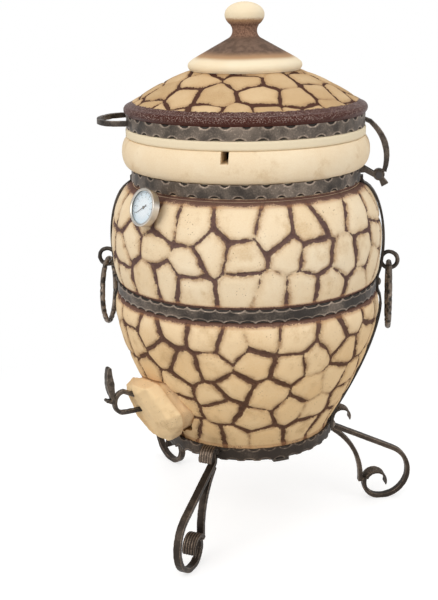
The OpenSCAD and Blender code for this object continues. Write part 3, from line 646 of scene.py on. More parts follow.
def cap_look():
    """Smooth clay with a brown smoke shade on the knob's neck and upper cone."""
    look = Look("cap clay")
    v = clay()
    base = look.mix(look.patches(0.35, 0.7, 14, 3) * 0.4, v.collar, (0.80, 0.62, 0.39))
    speckle = look.noise(330, 4, 0.75)
    z = look.z + look.uneven(0.006, 9, 2)
    up = look.rise(z, CAP_TOP - 0.113, CAP_TOP - 0.086)
    down = 1 - look.rise(z + (speckle - 0.5) * 0.012, CAP_TOP - 0.049, CAP_TOP - 0.026)
    smoke = up * down
    warm = look.mix(look.rise(smoke, 0.0, 0.34), base, (0.43, 0.255, 0.135))
    neck = look.rise(z, CAP_TOP - 0.074, CAP_TOP - 0.060)
    shade = look.mix(look.patches(0.35, 0.68, 60, 4, 0.7), [c * 0.72 for c in v.smoke],
                     [c * 1.45 for c in v.smoke])
    freckled = look.mix(look.rise(speckle, 0.35, 0.65), (0.11, 0.052, 0.036), (0.33, 0.185, 0.12))
    dark = look.mix(neck, shade, freckled)
    colour = look.mix(look.rise(smoke, 0.25, 0.92) * 0.94, warm, dark)
    rings = look.noise(1, 2, place=look.node(
        "ShaderNodeVectorMath", {"operation": "MULTIPLY"}, {0: look.place, 1: (6, 6, 420)}))
    relief = look.bump(rings, 0.0006, 0.4)
    relief = look.bump(look.noise(380, 4, 0.6), 0.0007, 0.45, relief)
    return look.finish(Base_Color=colour, Roughness=0.88, Normal=relief, Specular_IOR_Level=0.3)


def steel_look(name, patina, bronze, share, reads_wear_and_sheen=True):
    """Hammered steel: dark patina with rubbed bronze on high places and edges, which also carries painted
    highlights, and bright flecks painted as glints.
    """
    look = Look(name)
    fine = look.noise(310, 5, 0.65)
    soft = look.noise(15, 2)
    high = look.number("wear_and_sheen") if reads_wear_and_sheen else 0.55
    # The rubbed bronze is partly real wear and partly painted highlight on edges and round the marks.
    rubbed_and_sheen = look.rise(high + (soft - 0.5) * 1.1 + (fine - 0.5) * 0.5, 0.16, 1.02)
    colour = look.mix(rubbed_and_sheen * share, patina, bronze)
    # Painted glints: bright bronze flecks on the rubbed places.
    glint_flecks = look.rise(fine + 0.10 * rubbed_and_sheen, 0.60, 0.78)
    colour = look.mix(glint_flecks * rubbed_and_sheen * share * 0.7, colour, [min(1, c * 1.6) for c in bronze])
    relief = look.bump(look.noise(75, 3), 0.0026, 0.5)
    relief = look.bump(fine, 0.0006, 0.35, relief)
    return look.finish(Base_Color=colour, Roughness=0.44 + 0.16 * fine - 0.10 * rubbed_and_sheen,
                       Metallic=0.7, Normal=relief)


def plain_metal(name, colour, roughness, metallic=1.0):
    """Turned or rolled metal with fine marks."""
    look = Look(name)
    marks = look.noise(240, 4, 0.7)
    tone = look.mix(marks * 0.35, colour, [c * 0.72 for c in colour])
    relief = look.bump(marks, 0.0003, 0.12)
    return look.finish(Base_Color=tone, Roughness=roughness + 0.12 * marks,
                       Metallic=metallic, Normal=relief)


def iron_look():
    """Rough cast iron with a grey ash bloom."""
    look = Look("cast iron")
    coarse = look.noise(190, 5, 0.7)
    colour = look.mix(look.patches(0.45, 0.7, 26, 4) * 0.5, (0.028, 0.027, 0.027), (0.16, 0.15, 0.14))
    return look.finish(Base_Color=colour, Roughness=0.72 + 0.14 * coarse, Metallic=0.35,
                       Normal=look.bump(coarse, 0.0012, 0.6))


def dial_look():
    """Pale dial with ticks, plain strokes in place of figures, and a thin ring."""
    look = Look("dial")
    lowest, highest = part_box("thermometer_dial")
    middle = (lowest + highest) / 2
    away = outward(DIAL_AZ)
    side = Vector((math.cos(DIAL_AZ), math.sin(DIAL_AZ), 0))
    face = away * math.cos(DIAL_TILT) + Vector((0, 0, math.sin(DIAL_TILT)))
    up = face.cross(side)
    from_middle = look.node("ShaderNodeVectorMath", {"operation": "SUBTRACT"},
                            {0: look.place, 1: tuple(middle)})

    def along(direction):
        return look.node("ShaderNodeVectorMath", {"operation": "DOT_PRODUCT"},
                         {0: from_middle, 1: tuple(direction)}, output="Value")

    x, y = along(side), along(up)
    r = (x * x + y * y) ** 0.5
    turn = look.node("ShaderNodeMath", {"operation": "ARCTAN2"}, {0: x, 1: y}) / math.tau

    def marks(count, width, r0, r1):
        beat = look.node("ShaderNodeMath", {"operation": "FRACT"}, {0: turn * count + 0.5})
        off = look.node("ShaderNodeMath", {"operation": "ABSOLUTE"}, {0: beat - 0.5})
        line = 1 - look.rise(off * r * (math.tau / count), width * 0.7, width)
        ring = look.rise(r, r0 - 0.0002, r0) * (1 - look.rise(r, r1, r1 + 0.0002))
        return line * ring

    opening = look.rise(look.node("ShaderNodeMath", {"operation": "ABSOLUTE"}, {0: turn}), 0.375, 0.376)
    lines = marks(60, 0.00035, 0.0265, 0.0288) + marks(12, 0.0009, 0.0235, 0.0288)
    figures = marks(12, 0.0016, 0.0188, 0.0210) * 0.55
    rail = look.rise(r, 0.0286, 0.0288) * (1 - look.rise(r, 0.0293, 0.0295))
    ink = look.node("ShaderNodeClamp", None, {"Value": (1 - opening) * (lines + figures + rail)})
    # Painted shade: the dial grows darker towards its rim, under the bezel.
    pale = look.mix(look.rise(r, 0.012, 0.031), (0.86, 0.93, 0.97), (0.66, 0.79, 0.87))
    colour = look.mix(ink * 0.9, pale, (0.035, 0.04, 0.05))
    return look.finish(Base_Color=colour, Roughness=0.45)


def glass_look():
    """Clear flat glass."""
    look = Look("lens glass")
    clear = look.node("ShaderNodeBsdfTransparent", None, {"Color": (1, 1, 1, 1)})
    gloss = look.node("ShaderNodeBsdfGlossy", None, {"Color": (1, 1, 1, 1), "Roughness": 0.04})
    share = look.node("ShaderNodeFresnel", None, {"IOR": 1.3}) * 0.35
    mixed = look.node("ShaderNodeMixShader", None, {0: share, 1: clear, 2: gloss})
    look.node("ShaderNodeOutputMaterial", None, {"Surface": mixed})
    return look.material


def dress(node, look):
    """Gives a solid its material."""
    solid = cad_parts[node]
    if not solid.material_slots:
        solid.data.materials.append(look)
    for slot in solid.material_slots:
        slot.material = look


LOOKS = {}


def look_of(kind):
    """The material of a finish, made once."""
    if kind not in LOOKS:
        v, s = clay(), steel()
        door_pale = [c * k for c, k in zip(v.warm, (1.08, 1.1, 1.12))]
        makers = {
            "pot": lambda: clay_look("pot clay", v.pale, v.warm),
            "door": lambda: clay_look("door clay", v.warm, door_pale),
            "lid": lid_look,
            "cap": cap_look,
            "forged": lambda: steel_look("forged steel", s.patina, s.bronze, 0.80),
            "stand": lambda: steel_look("stand steel", (0.033, 0.024, 0.018), (0.33, 0.245, 0.180), 0.66),
            "strap": lambda: steel_look("strap steel", [c * 0.5 for c in s.patina], s.bronze, 0.22, False),
            "bracket": lambda: steel_look("bracket steel", s.patina, s.bronze, 0.6, False),
            "fastener": lambda: plain_metal("fastener steel", (0.10, 0.09, 0.085), 0.42),
            "iron": iron_look,
            "stainless": lambda: plain_metal("stainless steel", (0.66, 0.62, 0.56), 0.27),
            "brass": lambda: plain_metal("brass", (0.52, 0.38, 0.17), 0.34),
            "dial": dial_look,
            "lens": glass_look,
            "pointer": lambda: plain_metal("pointer black", (0.012, 0.012, 0.014), 0.45, metallic=0.0),
        }
        LOOKS[kind] = makers[kind]()
    return LOOKS[kind]


# ---- The pot ----


def pot_path(z0, z1):
    """Closed outline of the pot's wall between two heights."""
    grid = clay().grid
    outer = [(FOOT_R - 4 * MM, BASE_Z), (FOOT_R, BASE_Z + 4 * MM), (FOOT_R, FOOT_TOP)]
    outer += [(pot_out(z), z) for z in np.linspace(FOOT_TOP + 2 * MM, LOW_BELLY_Z, 60)]
    outer += [(pot_out(z), z) for z in arc_heights(LOW_BELLY_Z, WAIST_Z - WAIST_HALF, 14)[1:]]
    outer += [(WAIST_R, WAIST_Z)]
    outer += [(pot_out(z), z) for z in arc_heights(WAIST_Z + WAIST_HALF, UP_BELLY_Z, 22)]
    outer += [(pot_out(z), z) for z in arc_heights(UP_BELLY_Z, NECK_LOW, 30)[1:]]
    outer += [(NECK_R, NECK_Z + BAND_H / 2 + 0.5 * MM), (CREASE_R - 2 * MM, CREASE_Z)]
    outer += arc(CREASE_R, COLLAR_Z, COLLAR_R - CREASE_R, RIM_Z - COLLAR_Z + 3 * MM, -84, 68, 16)
    outer += [(COLLAR_R - 12 * MM, RIM_Z), (MOUTH_R + 5 * MM, RIM_Z)]
    inner = [(MOUTH_R + 2 * MM, RIM_Z - 3 * MM), (MOUTH_R, RIM_Z - 23.5 * MM), (MOUTH_R, CAVITY_TOP)]
    inner += arc(MOUTH_R, UP_BELLY_Z, CAVITY_R - MOUTH_R, CAVITY_TOP - UP_BELLY_Z, 84, 0, 9)
    inner += [(GRATE_R + 18 * MM + (CAVITY_R - GRATE_R - 18 * MM) * math.cos(math.pi / 2 * t),
               UP_BELLY_Z + (LEDGE_Z - UP_BELLY_Z) * t) for t in np.linspace(0.1, 1, 10)]
    inner += [(LEDGE_R, LEDGE_Z), (LEDGE_R - 2 * MM, LEDGE_Z - 45 * MM),
              (LEDGE_R - 8 * MM, FLOOR_Z + 22 * MM)]
    inner += arc(LEDGE_R - 28 * MM, FLOOR_Z + 20 * MM, 20 * MM, 20 * MM, 0, -90, 5)
    outer = clipped(resampled(outer, grid), z0, z1)
    inner = clipped(resampled(inner, 0.02), z0, z1)
    return outer, inner


def arc_heights(z0, z1, n):
    """Heights from z0 to z1, closer together near both ends."""
    return [z0 + (z1 - z0) * (1 - math.cos(math.pi * i / n)) / 2 for i in range(n + 1)]


def clipped(path, z0, z1):
    """The part of a path between two heights, with points on both."""
    out = []
    for p, q in zip(path, path[1:] + path[-1:]):
        if z0 <= p[1] <= z1:
            out.append(p)
        for level in (z0, z1):
            if (p[1] - level) * (q[1] - level) < 0:
                t = (level - p[1]) / (q[1] - p[1])
                out.append((p[0] + (q[0] - p[0]) * t, level))
    return out


def prism(name, near, far):
    """A closed prism between two outlines with as many corners."""
    n = len(near)
    faces = [list(range(n))[::-1], list(range(n, 2 * n))]
    faces += [[i, (i + 1) % n, n + (i + 1) % n, n + i] for i in range(n)]
    mesh = bpy.data.meshes.new(name)
    mesh.from_pydata([*near, *far], [], faces)
    made = bpy.data.objects.new(name, mesh)
    bpy.context.scene.collection.objects.link(made)
    pick_up(made)
    bpy.ops.object.mode_set(mode="EDIT")
    bpy.ops.mesh.select_all(action="SELECT")
    bpy.ops.mesh.normals_make_consistent(inside=False)
    bpy.ops.object.mode_set(mode="OBJECT")
    return made


def door_point(x, z, r):
    """A place at the ash door: across, up from its middle, and from the axis."""
    side = Vector((math.cos(DOOR_AZ), math.sin(DOOR_AZ), 0))
    return outward(DOOR_AZ) * r + side * x + Vector((0, 0, DOOR_Z + z))


def seat_r(z):
    """Distance of the door's seat from the axis, at a height above its middle."""
    return pot_out(DOOR_Z) - DOOR_SEAT / math.cos(DOOR_TILT) + z * math.tan(DOOR_TILT)


def stone_cutter():
    """Cuts the ash door's seat into the wall."""
    outline = [(x * MM, z * MM) for x, z in STONE]
    return prism("stone cutter", [door_point(x, z, seat_r(z)) for x, z in outline],
                 [door_point(x, z, PAST_WALL) for x, z in outline])


def port_cutter():
    """Cuts the ash port, with round corners, through the wall."""
    w, h, r = PORT_HALF_W - PORT_CORNER, PORT_HALF_H - PORT_CORNER, PORT_CORNER
    corners = []
    for k, (x, z) in enumerate(((w, h), (-w, h), (-w, -h), (w, -h))):
        corners += arc(x, z - PORT_DROP, r, r, 90 * k, 90 * k + 90, 6)
    return prism("port cutter", [door_point(x, z, 20 * MM) for x, z in corners],
                 [door_point(x, z, PAST_WALL) for x, z in corners])


def notch_cutter(k):
    """Cuts one of the four steam notches into the rim."""
    a = math.radians(90 * k + NOTCH_TURN)
    side = Vector((math.cos(a), math.sin(a), 0))
    half, r0, r1 = NOTCH_W / 2, MOUTH_R - 10 * MM, COLLAR_R + 10 * MM
    corners = [outward(a) * r + side * x for x, r in ((-half, r0), (half, r0), (half, r1), (-half, r1))]
    return prism("notch cutter", [c + Vector((0, 0, RIM_Z - NOTCH_DEPTH)) for c in corners],
                 [c + Vector((0, 0, RIM_Z + 5 * MM)) for c in corners])


def well_cutter():
    """Cuts the thermometer's hole through the wall."""
    put_down()
    lowest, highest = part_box("thermometer_well")
    middle = (lowest + highest) / 2
    bpy.ops.mesh.primitive_cylinder_add(
        vertices=32, radius=WELL_HOLE_R, depth=0.16, location=middle,
        rotation=(math.pi / 2 - DIAL_TILT, 0, DIAL_AZ))
    bpy.ops.object.transform_apply(location=True, rotation=True, scale=True)
    return bpy.context.object


def relief(piece, z0, z1, first):
    """Sinks the joints between the stones and notes where they run."""
    v = clay()
    p = points(piece)
    r = np.hypot(p[:, 0], p[:, 1])
    z = p[:, 2]
    wall = np.array([pot_out(h) for h in z])
    outside = (np.abs(r - wall) < 0.0006) & (z < NECK_LOW + 0.004)
    spots, names = stones_between(z0, z1, first)
    shifted = p + 0.0014 * np.stack([waves(p, 0.04, 1), waves(p, 0.04, 2), waves(p, 0.04, 3)], 1)
    gap, tone = joints(shifted, spots, names, v.joint_width)
    sink = v.joint_depth * (1 - ease(gap, -0.0012, 0.0022))
    sink += 0.0014 * (1 - ease(gap, 0.0, 0.016)) + 0.0005 * (1 + waves(p, 0.04, 4))
    sink *= outside * ease(z, z0, z0 + 0.008) * (1 - ease(z, z1 - 0.008, z1))
    drawn_in(p, r, sink)
    move_points(piece, p)
    from_hoop = np.where(z < WAIST_Z, WAIST_Z - WAIST_HALF - z, 1.7 * (z - WAIST_Z - WAIST_HALF))
    paint = 1 - ease(from_hoop, -0.002, 0.015)
    paint = np.maximum(paint, 1 - ease(NECK_LOW - z, -0.002, 0.015))
    paint = np.maximum(paint, 0.35 * (1 - ease(z - FOOT_TOP, 0.0, 0.005)))
    paint *= z < NECK_Z
    note(piece, "joint", np.where(outside, gap, 0.05))
    note(piece, "tone", np.where(outside, tone, 0.3))
    note(piece, "paint", np.where(outside, paint, 0.0))


def make_shell(name, node, z0, z1, zone, cutters):
    """Throws one of the pot's two rings, cuts its openings and lays its stones."""
    outer, inner = pot_path(z0, z1)
    ring = outer + inner
    steps = round(math.tau * UP_BELLY_R / clay().grid)
    if z0 <= BASE_Z:
        ring = [(0, BASE_Z)] + outer + inner + [(0, FLOOR_Z)]
    else:
        ring = ring + ring[:1]
    piece = spun(name, ring, steps)
    for cutter in cutters:
        cut(piece, cutter())
    relief(piece, *zone)
    return finished(piece, "pot", "clay", look_of("pot"), node, angle=50)


class TANDOOR_OT_pot(bpy.types.Operator):
    """Turn the two clay shells and sink the joints between their stones"""

    bl_idname = "tandoor.pot"
    bl_label = "Clay pot"

    def execute(self, context):
        make_shell("lower_shell", "pot_lower", BASE_Z, WAIST_Z,
                   (FOOT_TOP, WAIST_Z - WAIST_HALF, 0), [stone_cutter, port_cutter])
        make_shell("upper_shell", "pot_upper", WAIST_Z, RIM_Z,
                   (WAIST_Z + WAIST_HALF, NECK_LOW - 4 * MM, 400),
                   [well_cutter] + [lambda k=k: notch_cutter(k) for k in range(4)])
        return {"FINISHED"}


# ---- The lid and its cap ----


def cone_at(r):
    """Height of the lid's domed cone at a radius."""
    t = (CONE_R - r) / (CONE_R - SEAT_R)
    return CONE_Z + (SEAT_Z - CONE_Z) * t + 6 * MM * math.sin(math.pi * t)


def lid_path():
    """Closed outline of the lid's clay."""
    grid = clay().grid
    seat = LID_R - 6.5 * MM
    under = [(MOUTH_R + 8 * MM, LID_Z), (LID_R - 3 * MM, LID_Z), (LID_R, LID_Z + 3 * MM),
             (LID_R, LID_BAND_Z - 2 * MM), (LID_R - 2 * MM, LID_BAND_Z), (seat, LID_BAND_Z),
             (seat, LID_BAND_TOP), (LID_R - 1 * MM, LID_BAND_TOP)]
    rim = arc(CONE_R, LID_BAND_TOP + 9 * MM, LID_R + 3 * MM - CONE_R, 9 * MM, -60, 80, 10)
    cone = [(r, cone_at(r)) for r in np.linspace(CONE_R - 1 * MM, SEAT_R, 40)]
    hollow = [(VENT_R, SEAT_Z), (VENT_R, SEAT_Z - 38 * MM), (MOUTH_R - 4 * MM, CONE_Z - 22 * MM),
              (MOUTH_R + 8 * MM, LID_Z + 22 * MM)]
    ring = resampled(under + rim + cone, grid) + resampled(hollow, 0.015)
    return ring + ring[:1]


def lid_stones():
    """Middles and names of the lid's stones: four uneven rings."""
    spots, names = [], []
    for k, (ring_r, n) in enumerate(((0.238, 26), (0.188, 17), (0.138, 11), (0.090, 8))):
        for i in range(n):
            stone = 900 + 40 * k + i
            a = math.tau * (i + 0.5 * (k % 2) + 0.6 * (thrown(stone) - 0.5)) / n
            q = ring_r + 0.024 * (thrown(stone + 0.5) - 0.5)
            spots.append((q * math.sin(a), -q * math.cos(a), cone_at(min(q, CONE_R))))
            names.append(stone)
    return np.array(spots), np.array(names)


def lid_relief(piece):
    """Sinks the joints of the lid's stones and notes the glazed rim and the plain clay."""
    p = points(piece)
    r = np.hypot(p[:, 0], p[:, 1])
    # This also takes in part of the inner cone, so joints show there when the lid is open.
    top = (p[:, 2] > CONE_Z - 0.003) & (r > SEAT_R + 1 * MM) & (r < CONE_R)
    shifted = p + 0.0016 * np.stack([waves(p, 0.04, 11), waves(p, 0.04, 12), waves(p, 0.04, 13)], 1)
    gap, tone = joints(shifted, *lid_stones(), 1.05 * clay().joint_width)
    sink = 0.0024 * (1 - ease(gap, -0.0010, 0.0020)) + 0.0009 * (1 - ease(gap, 0.0, 0.014))
    sink *= top * ease(CONE_R - r, 0.004, 0.020) * ease(r - SEAT_R, 0.006, 0.012)
    p[:, 2] -= sink
    move_points(piece, p)
    paint = ease(r, CONE_R - 0.018, CONE_R - 0.002) + 1.0 * (p[:, 2] < CONE_Z - 0.002)
    plain = 1 - ease(p[:, 2], LID_BAND_Z + 0.006, LID_BAND_Z + 0.012)
    under = (r < MOUTH_R + 0.009) & (p[:, 2] < CONE_Z - 0.001)
    note(piece, "joint", np.where(top, gap, 0.05))
    note(piece, "tone", np.where(top, tone, 0.3))
    note(piece, "paint", np.clip(paint, 0, 1))
    note(piece, "plain", np.maximum(plain, (r < VENT_R + 0.002) | under))


class TANDOOR_OT_lid(bpy.types.Operator):
    """Turn the lid, its stones and its glazed rim"""

    bl_idname = "tandoor.lid"
    bl_label = "Lid"

    def execute(self, context):
        piece = spun("lid_clay", lid_path(), round(math.tau * LID_R / clay().grid))
        lid_relief(piece)
        finished(piece, "lid", "lid_clay", look_of("lid"), "lid_shell", angle=50)
        dress("lid_cap", look_of("cap"))
        return {"FINISHED"}


# ---- Forged pieces ----


def softened(node, name, voxel, rounds):
    """A solid's copy with its edges worn round, as a hammer leaves them."""
    piece = copy_of(node, name)
    pick_up(piece)
    piece.data.remesh_voxel_size = voxel
    piece.data.remesh_voxel_adaptivity = 0
    bpy.ops.object.voxel_remesh()
    modified(piece, "SMOOTH", factor=0.5, iterations=rounds)
    return piece


def edge_wear_and_sheen(piece, size):
    """1 on the piece's outward edges, 0 on its flats and hollows; used for rubbed wear and a painted
    highlight along the edges.
    """
    p, n = points(piece), facings(piece)
    ends = np.empty(len(piece.data.edges) * 2, int)
    piece.data.edges.foreach_get("vertices", ends)
    a, b = ends.reshape(-1, 2).T
    total, count = np.zeros_like(p), np.zeros(len(p))
    for own, other in ((a, b), (b, a)):
        np.add.at(total, own, p[other] - p[own])
        np.add.at(count, own, 1)
    drop = -(total * n).sum(1) / np.maximum(count, 1)
    return ease(drop, 0.03 * size, 0.17 * size)


def hammered(piece, spacing, depth, seed, wear_and_sheen, fade):
    """Dents a piece all over, inwards only, and notes its rubbed wear and painted highlights, with dark
    patina in the dents.
    """
    p, n = points(piece), facings(piece)
    dice = np.random.default_rng(seed)
    lowest, highest = p.min(0) - spacing, p.max(0) + spacing
    counts = np.maximum(1, np.ceil((highest - lowest) / spacing)).astype(int)
    cell = np.floor((p - lowest) / spacing).astype(int)
    jitter = dice.random((*(counts + 2), 3))
    closest = np.full(len(p), 1e9)
    for dx in (-1, 0, 1):
        for dy in (-1, 0, 1):
            for dz in (-1, 0, 1):
                at = np.clip(cell + (dx, dy, dz), 0, counts)
                spot = lowest + (at + jitter[at[:, 0], at[:, 1], at[:, 2]]) * spacing
                closest = np.minimum(closest, np.linalg.norm(p - spot, axis=1))
    dent = 1 - ease(closest, 0.0, spacing * 0.62)
    move_points(piece, p - n * (dent * depth)[:, None])
    note(piece, "wear_and_sheen", np.clip(wear_and_sheen - fade * dent, 0, 1))


def bitten(piece, r_out, z0, z1, pitch, bite_w, shift):
    """Presses half-moon marks into both edges of a hoop; returns where it is rubbed bright, with painted
    shadow in each mark and a painted highlight round it.
    """
    p = points(piece)
    r = np.hypot(p[:, 0], p[:, 1])
    a = np.arctan2(p[:, 0], -p[:, 1])
    count = round(math.tau * r_out / pitch)
    band = r < r_out + 0.001
    wear_and_sheen = np.full(len(p), 0.52)
    for sign, offset in ((1, 0.0), (-1, 0.45)):
        beat = a / math.tau * count + offset + shift + 0.10 * np.sin(a * 5 + offset * 9)
        along = ((beat % 1) - 0.5) * math.tau * r_out / count
        edge = (z1 - p[:, 2]) if sign > 0 else (p[:, 2] - z0)
        far = np.hypot(along / (bite_w / 2), edge / 0.0052)
        bite = (1 - ease(far, 0.62, 1.02)) * band
        p[:, 2] -= sign * 0.0010 * bite
        sink = 0.0021 * bite * ease(r, r_out - 0.003, r_out)
        drawn_in(p, r, sink)
        # Painted shadow inside each mark and a painted highlight on the ring round it, added to the rubbed
        # wear.
        wear_and_sheen += 0.75 * ease(far, 0.90, 1.05) * (1 - ease(far, 1.10, 1.45)) - 0.55 * bite
    move_points(piece, p)
    return wear_and_sheen


def reeded(piece, pitch, depth):
    """Grooves the leg's curl at the hoop and the scroll at its foot, along their length."""
    p, n = points(piece), facings(piece)
    way = p[:, :2].mean(0)
    way /= np.hypot(*way)
    across = p[:, 1] * way[0] - p[:, 0] * way[1]
    out = p[:, 0] * way[0] + p[:, 1] * way[1]
    curl = ease(p[:, 2], BASE_Z + 0.003, BASE_Z + 0.007)
    scroll = 1 - ease(np.hypot(out - SCROLL[0], p[:, 2] - SCROLL[1]), SCROLL_R, SCROLL_R + 2 * MM)
    groove = (0.5 - 0.5 * np.cos(math.tau * across / pitch)) * np.maximum(curl, scroll)
    move_points(piece, p - n * (depth * groove)[:, None])


# Each hoop's body, finish, share of the usual mark spacing, mark width and brightness.
HOOPS = (("neck_band", "pot", "forged", 1.0, 0.017, 1), ("middle_band", "pot", "forged", 0.7, 0.028, 0.72),
         ("bottom_band", "pot", "stand", 0.8, 0.022, 0.5), ("lid_band", "lid", "forged", 1.0, 0.020, 1))


class TANDOOR_OT_hoops(bpy.types.Operator):
    """Forge the hoops with marks along both edges"""

    bl_idname = "tandoor.hoops"
    bl_label = "Hoops"

    def execute(self, context):
        for k, (node, body, look, spread, bite_w, bright) in enumerate(HOOPS):
            lowest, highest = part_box(node)
            piece = softened(node, node + "_forged", 0.0019, 2)
            wear_and_sheen = bitten(piece, highest.x, lowest.z, highest.z, steel().bites * spread, bite_w, 0.3 * k)
            # Rubbed wear with painted highlights along the hoop's edges.
            wear_and_sheen = bright * (wear_and_sheen + 0.3 * edge_wear_and_sheen(piece, 0.0019))
            hammered(piece, 0.021, steel().dent * 0.3, 20 + k, wear_and_sheen, 0.15)
            finished(piece, body, look + "_steel", look_of(look), node)
        return {"FINISHED"}


class TANDOOR_OT_straps(bpy.types.Operator):
    """Dress the straps, their rivets, bolts and the hinge"""

    bl_idname = "tandoor.straps"
    bl_label = "Straps and hinge"

    def execute(self, context):
        for node in ("strap_right", "strap_left", "hinge_bracket", "strap_rivets"):
            dress(node, look_of("strap" if node in ("strap_right", "strap_left") else "bracket"))
        for node in ("band_bolts", "band_nuts", "hinge_pin", "hinge_nut", "lid_band_bolt", "lid_band_nut"):
            dress(node, look_of("fastener"))
        return {"FINISHED"}


BARS = (("eye_right", "pot"), ("eye_left", "pot"), ("ring_right", "ring_right"),
        ("ring_left", "ring_left"), ("lid_arm", "lid"), ("lid_handle", "lid"),
        ("ash_door_handle", "ash_door"), ("ash_door_thumb_piece", "ash_door"))


class TANDOOR_OT_bars(bpy.types.Operator):
    """Hammer the handles, rings, eyes and the lid arm"""

    bl_idname = "tandoor.bars"
    bl_label = "Handles and rings"

    def execute(self, context):
        for k, (node, body) in enumerate(BARS):
            piece = softened(node, node + "_forged", 0.0012, 3)
            # Rubbed wear with painted highlights along the edges.
            wear_and_sheen = 0.40 + 0.50 * edge_wear_and_sheen(piece, 0.0012)
            if body.startswith("ring"):
                hammered(piece, 0.011, steel().dent * 1.4, 40 + k, wear_and_sheen + 0.25, 0.75)
            else:
                hammered(piece, 0.014, steel().dent * 0.6, 40 + k, wear_and_sheen, 0.25)
            finished(piece, body, "forged_steel", look_of("forged"), node)
        return {"FINISHED"}


class TANDOOR_OT_legs(bpy.types.Operator):
    """Hammer the scrolled legs and their braces"""

    bl_idname = "tandoor.legs"
    bl_label = "Legs"

    def execute(self, context):
        for side in ("front", "right", "rear"):
            for kind in ("leg", "brace"):
                node = kind + "_" + side
                piece = softened(node, node + "_forged", 0.0015, 3)
                if kind == "leg":
                    reeded(piece, 5.5 * MM, 1.0 * MM)
                # Rubbed wear with painted highlights along the edges.
                wear_and_sheen = 0.30 + 0.60 * edge_wear_and_sheen(piece, 0.0015)
                hammered(piece, 0.016, steel().dent * 0.35, 60, wear_and_sheen, 0.15)
                finished(piece, "pot", "stand_steel", look_of("stand"), node)
        for node in ("base_bar_long", "base_bar_cross"):
            dress(node, look_of("strap"))
        dress("fire_grate", look_of("iron"))
        return {"FINISHED"}


class TANDOOR_OT_door(bpy.types.Operator):
    """Wear the ash door to a domed stone"""

    bl_idname = "tandoor.door"
    bl_label = "Ash door"

    def execute(self, context):
        piece = softened("ash_door", "door_stone", 0.0026, 24)
        p, n = points(piece), facings(piece)
        sink = 0.0015 * (1 + waves(p, 0.06, 31)) + 0.0007 * (1 + waves(p, 0.018, 32))
        move_points(piece, p - n * sink[:, None])
        wall_way = outward(DOOR_AZ) * math.cos(DOOR_TILT) - Vector((0, 0, math.sin(DOOR_TILT)))
        faced = n @ np.array(wall_way)
        across = p @ np.array((math.cos(DOOR_AZ), math.sin(DOOR_AZ), 0))
        side_on = 1 - ease(across + 0.35 * (p[:, 2] - DOOR_Z), -0.052, -0.020)
        note(piece, "joint", np.full(len(p), 0.05))
        note(piece, "tone", np.clip(0.1 + 0.8 * side_on, 0, 1))
        note(piece, "paint", np.maximum(0.22 * (1 - ease(faced, 0.2, 0.75)), 0.16 * side_on))
        finished(piece, "ash_door", "lid_clay", look_of("door"), "ash_door", angle=60)
        return {"FINISHED"}


class TANDOOR_OT_thermometer(bpy.types.Operator):
    """Finish the thermometer's case, dial, pointer and glass"""

    bl_idname = "tandoor.thermometer"
    bl_label = "Thermometer"

    def execute(self, context):
        for node, kind in (("case", "stainless"), ("bezel", "stainless"), ("stem", "stainless"),
                           ("well", "brass"), ("spindle", "brass"), ("dial", "dial"),
                           ("lens", "lens"), ("pointer", "pointer")):
            dress("thermometer_" + node, look_of(kind))
        return {"FINISHED"}


# ---- Stage ----


def aim_camera(v):
    """Puts the camera where the picture was taken from."""
    level = math.cos(PITCH)
    forward = Vector((math.sin(YAW) * level, math.cos(YAW) * level, -math.sin(PITCH)))
    right = Vector((math.cos(YAW), -math.sin(YAW), 0))
    up = right.cross(forward)
    across = right * math.cos(ROLL) + up * math.sin(ROLL)
    over = up * math.cos(ROLL) - right * math.sin(ROLL)
    turn = Matrix.Rotation(CAMERA_AZ, 3, "Z")
    axes = Matrix([turn @ across, turn @ over, turn @ -forward]).transposed().to_4x4()
    put_down()
    bpy.ops.object.camera_add()
    camera = bpy.context.object
    place = outward(CAMERA_AZ) * v.distance + Vector((0, 0, v.height))
    camera.matrix_world = Matrix.Translation(place) @ axes
    camera.data.sensor_width = SENSOR
    camera.data.lens = SENSOR * FOCAL_PX / PICTURE_PX
    camera.data.clip_start, camera.data.clip_end = 0.05, 60
    bpy.context.scene.camera = camera


def lay_floor():
    """A pale floor that keeps the oven's shadow and fades into the white background."""
    put_down()
    bpy.ops.mesh.primitive_circle_add(vertices=96, radius=6, fill_type="NGON", location=(0, 0, -0.0004))
    floor = bpy.context.object
    floor.name = "floor"
    look = Look("floor")
    seen = look.rays("Is Camera Ray", "Is Glossy Ray", "Is Transmission Ray")
    matt = look.node("ShaderNodeBsdfDiffuse", None, {"Color": (0.50, 0.50, 0.50, 1)})
    glow = look.glow("ShaderNodeEmission", seen * 0.63)
    both = look.node("ShaderNodeAddShader", None, {0: matt, 1: glow})
    white = look.glow("ShaderNodeEmission", 0.5 + seen * 0.5)
    far = look.rise((look.x * look.x + look.y * look.y) ** 0.5, 0.55, 1.15)
    whole = look.node("ShaderNodeMixShader", None, {0: far, 1: both, 2: white})
    look.node("ShaderNodeOutputMaterial", None, {"Surface": whole})
    floor.data.materials.append(look.material)


def lamp(name, place, aim, power, size, colour=(1, 1, 1)):
    """A square lamp that looks at a place."""
    data = bpy.data.lights.new(name, "AREA")
    data.energy, data.size, data.color = power, size, colour
    made = bpy.data.objects.new(name, data)
    made.location = place
    made.rotation_euler = (Vector(aim) - Vector(place)).to_track_quat("-Z", "Y").to_euler()
    bpy.context.scene.collection.objects.link(made)


def light_sky(v):
    """Even light from all round, with a background that the camera sees as white."""
    world = bpy.data.worlds.new("studio")
    bpy.context.scene.world = world
    sky = Tree(world)
    seen = sky.rays("Is Camera Ray", "Is Transmission Ray")
    even = sky.glow("ShaderNodeBackground", v.ambient)
    white = sky.glow("ShaderNodeBackground", 1.0)
    mixed = sky.node("ShaderNodeMixShader", None, {0: seen, 1: even, 2: white})
    sky.node("ShaderNodeOutputWorld", None, {"Surface": mixed})


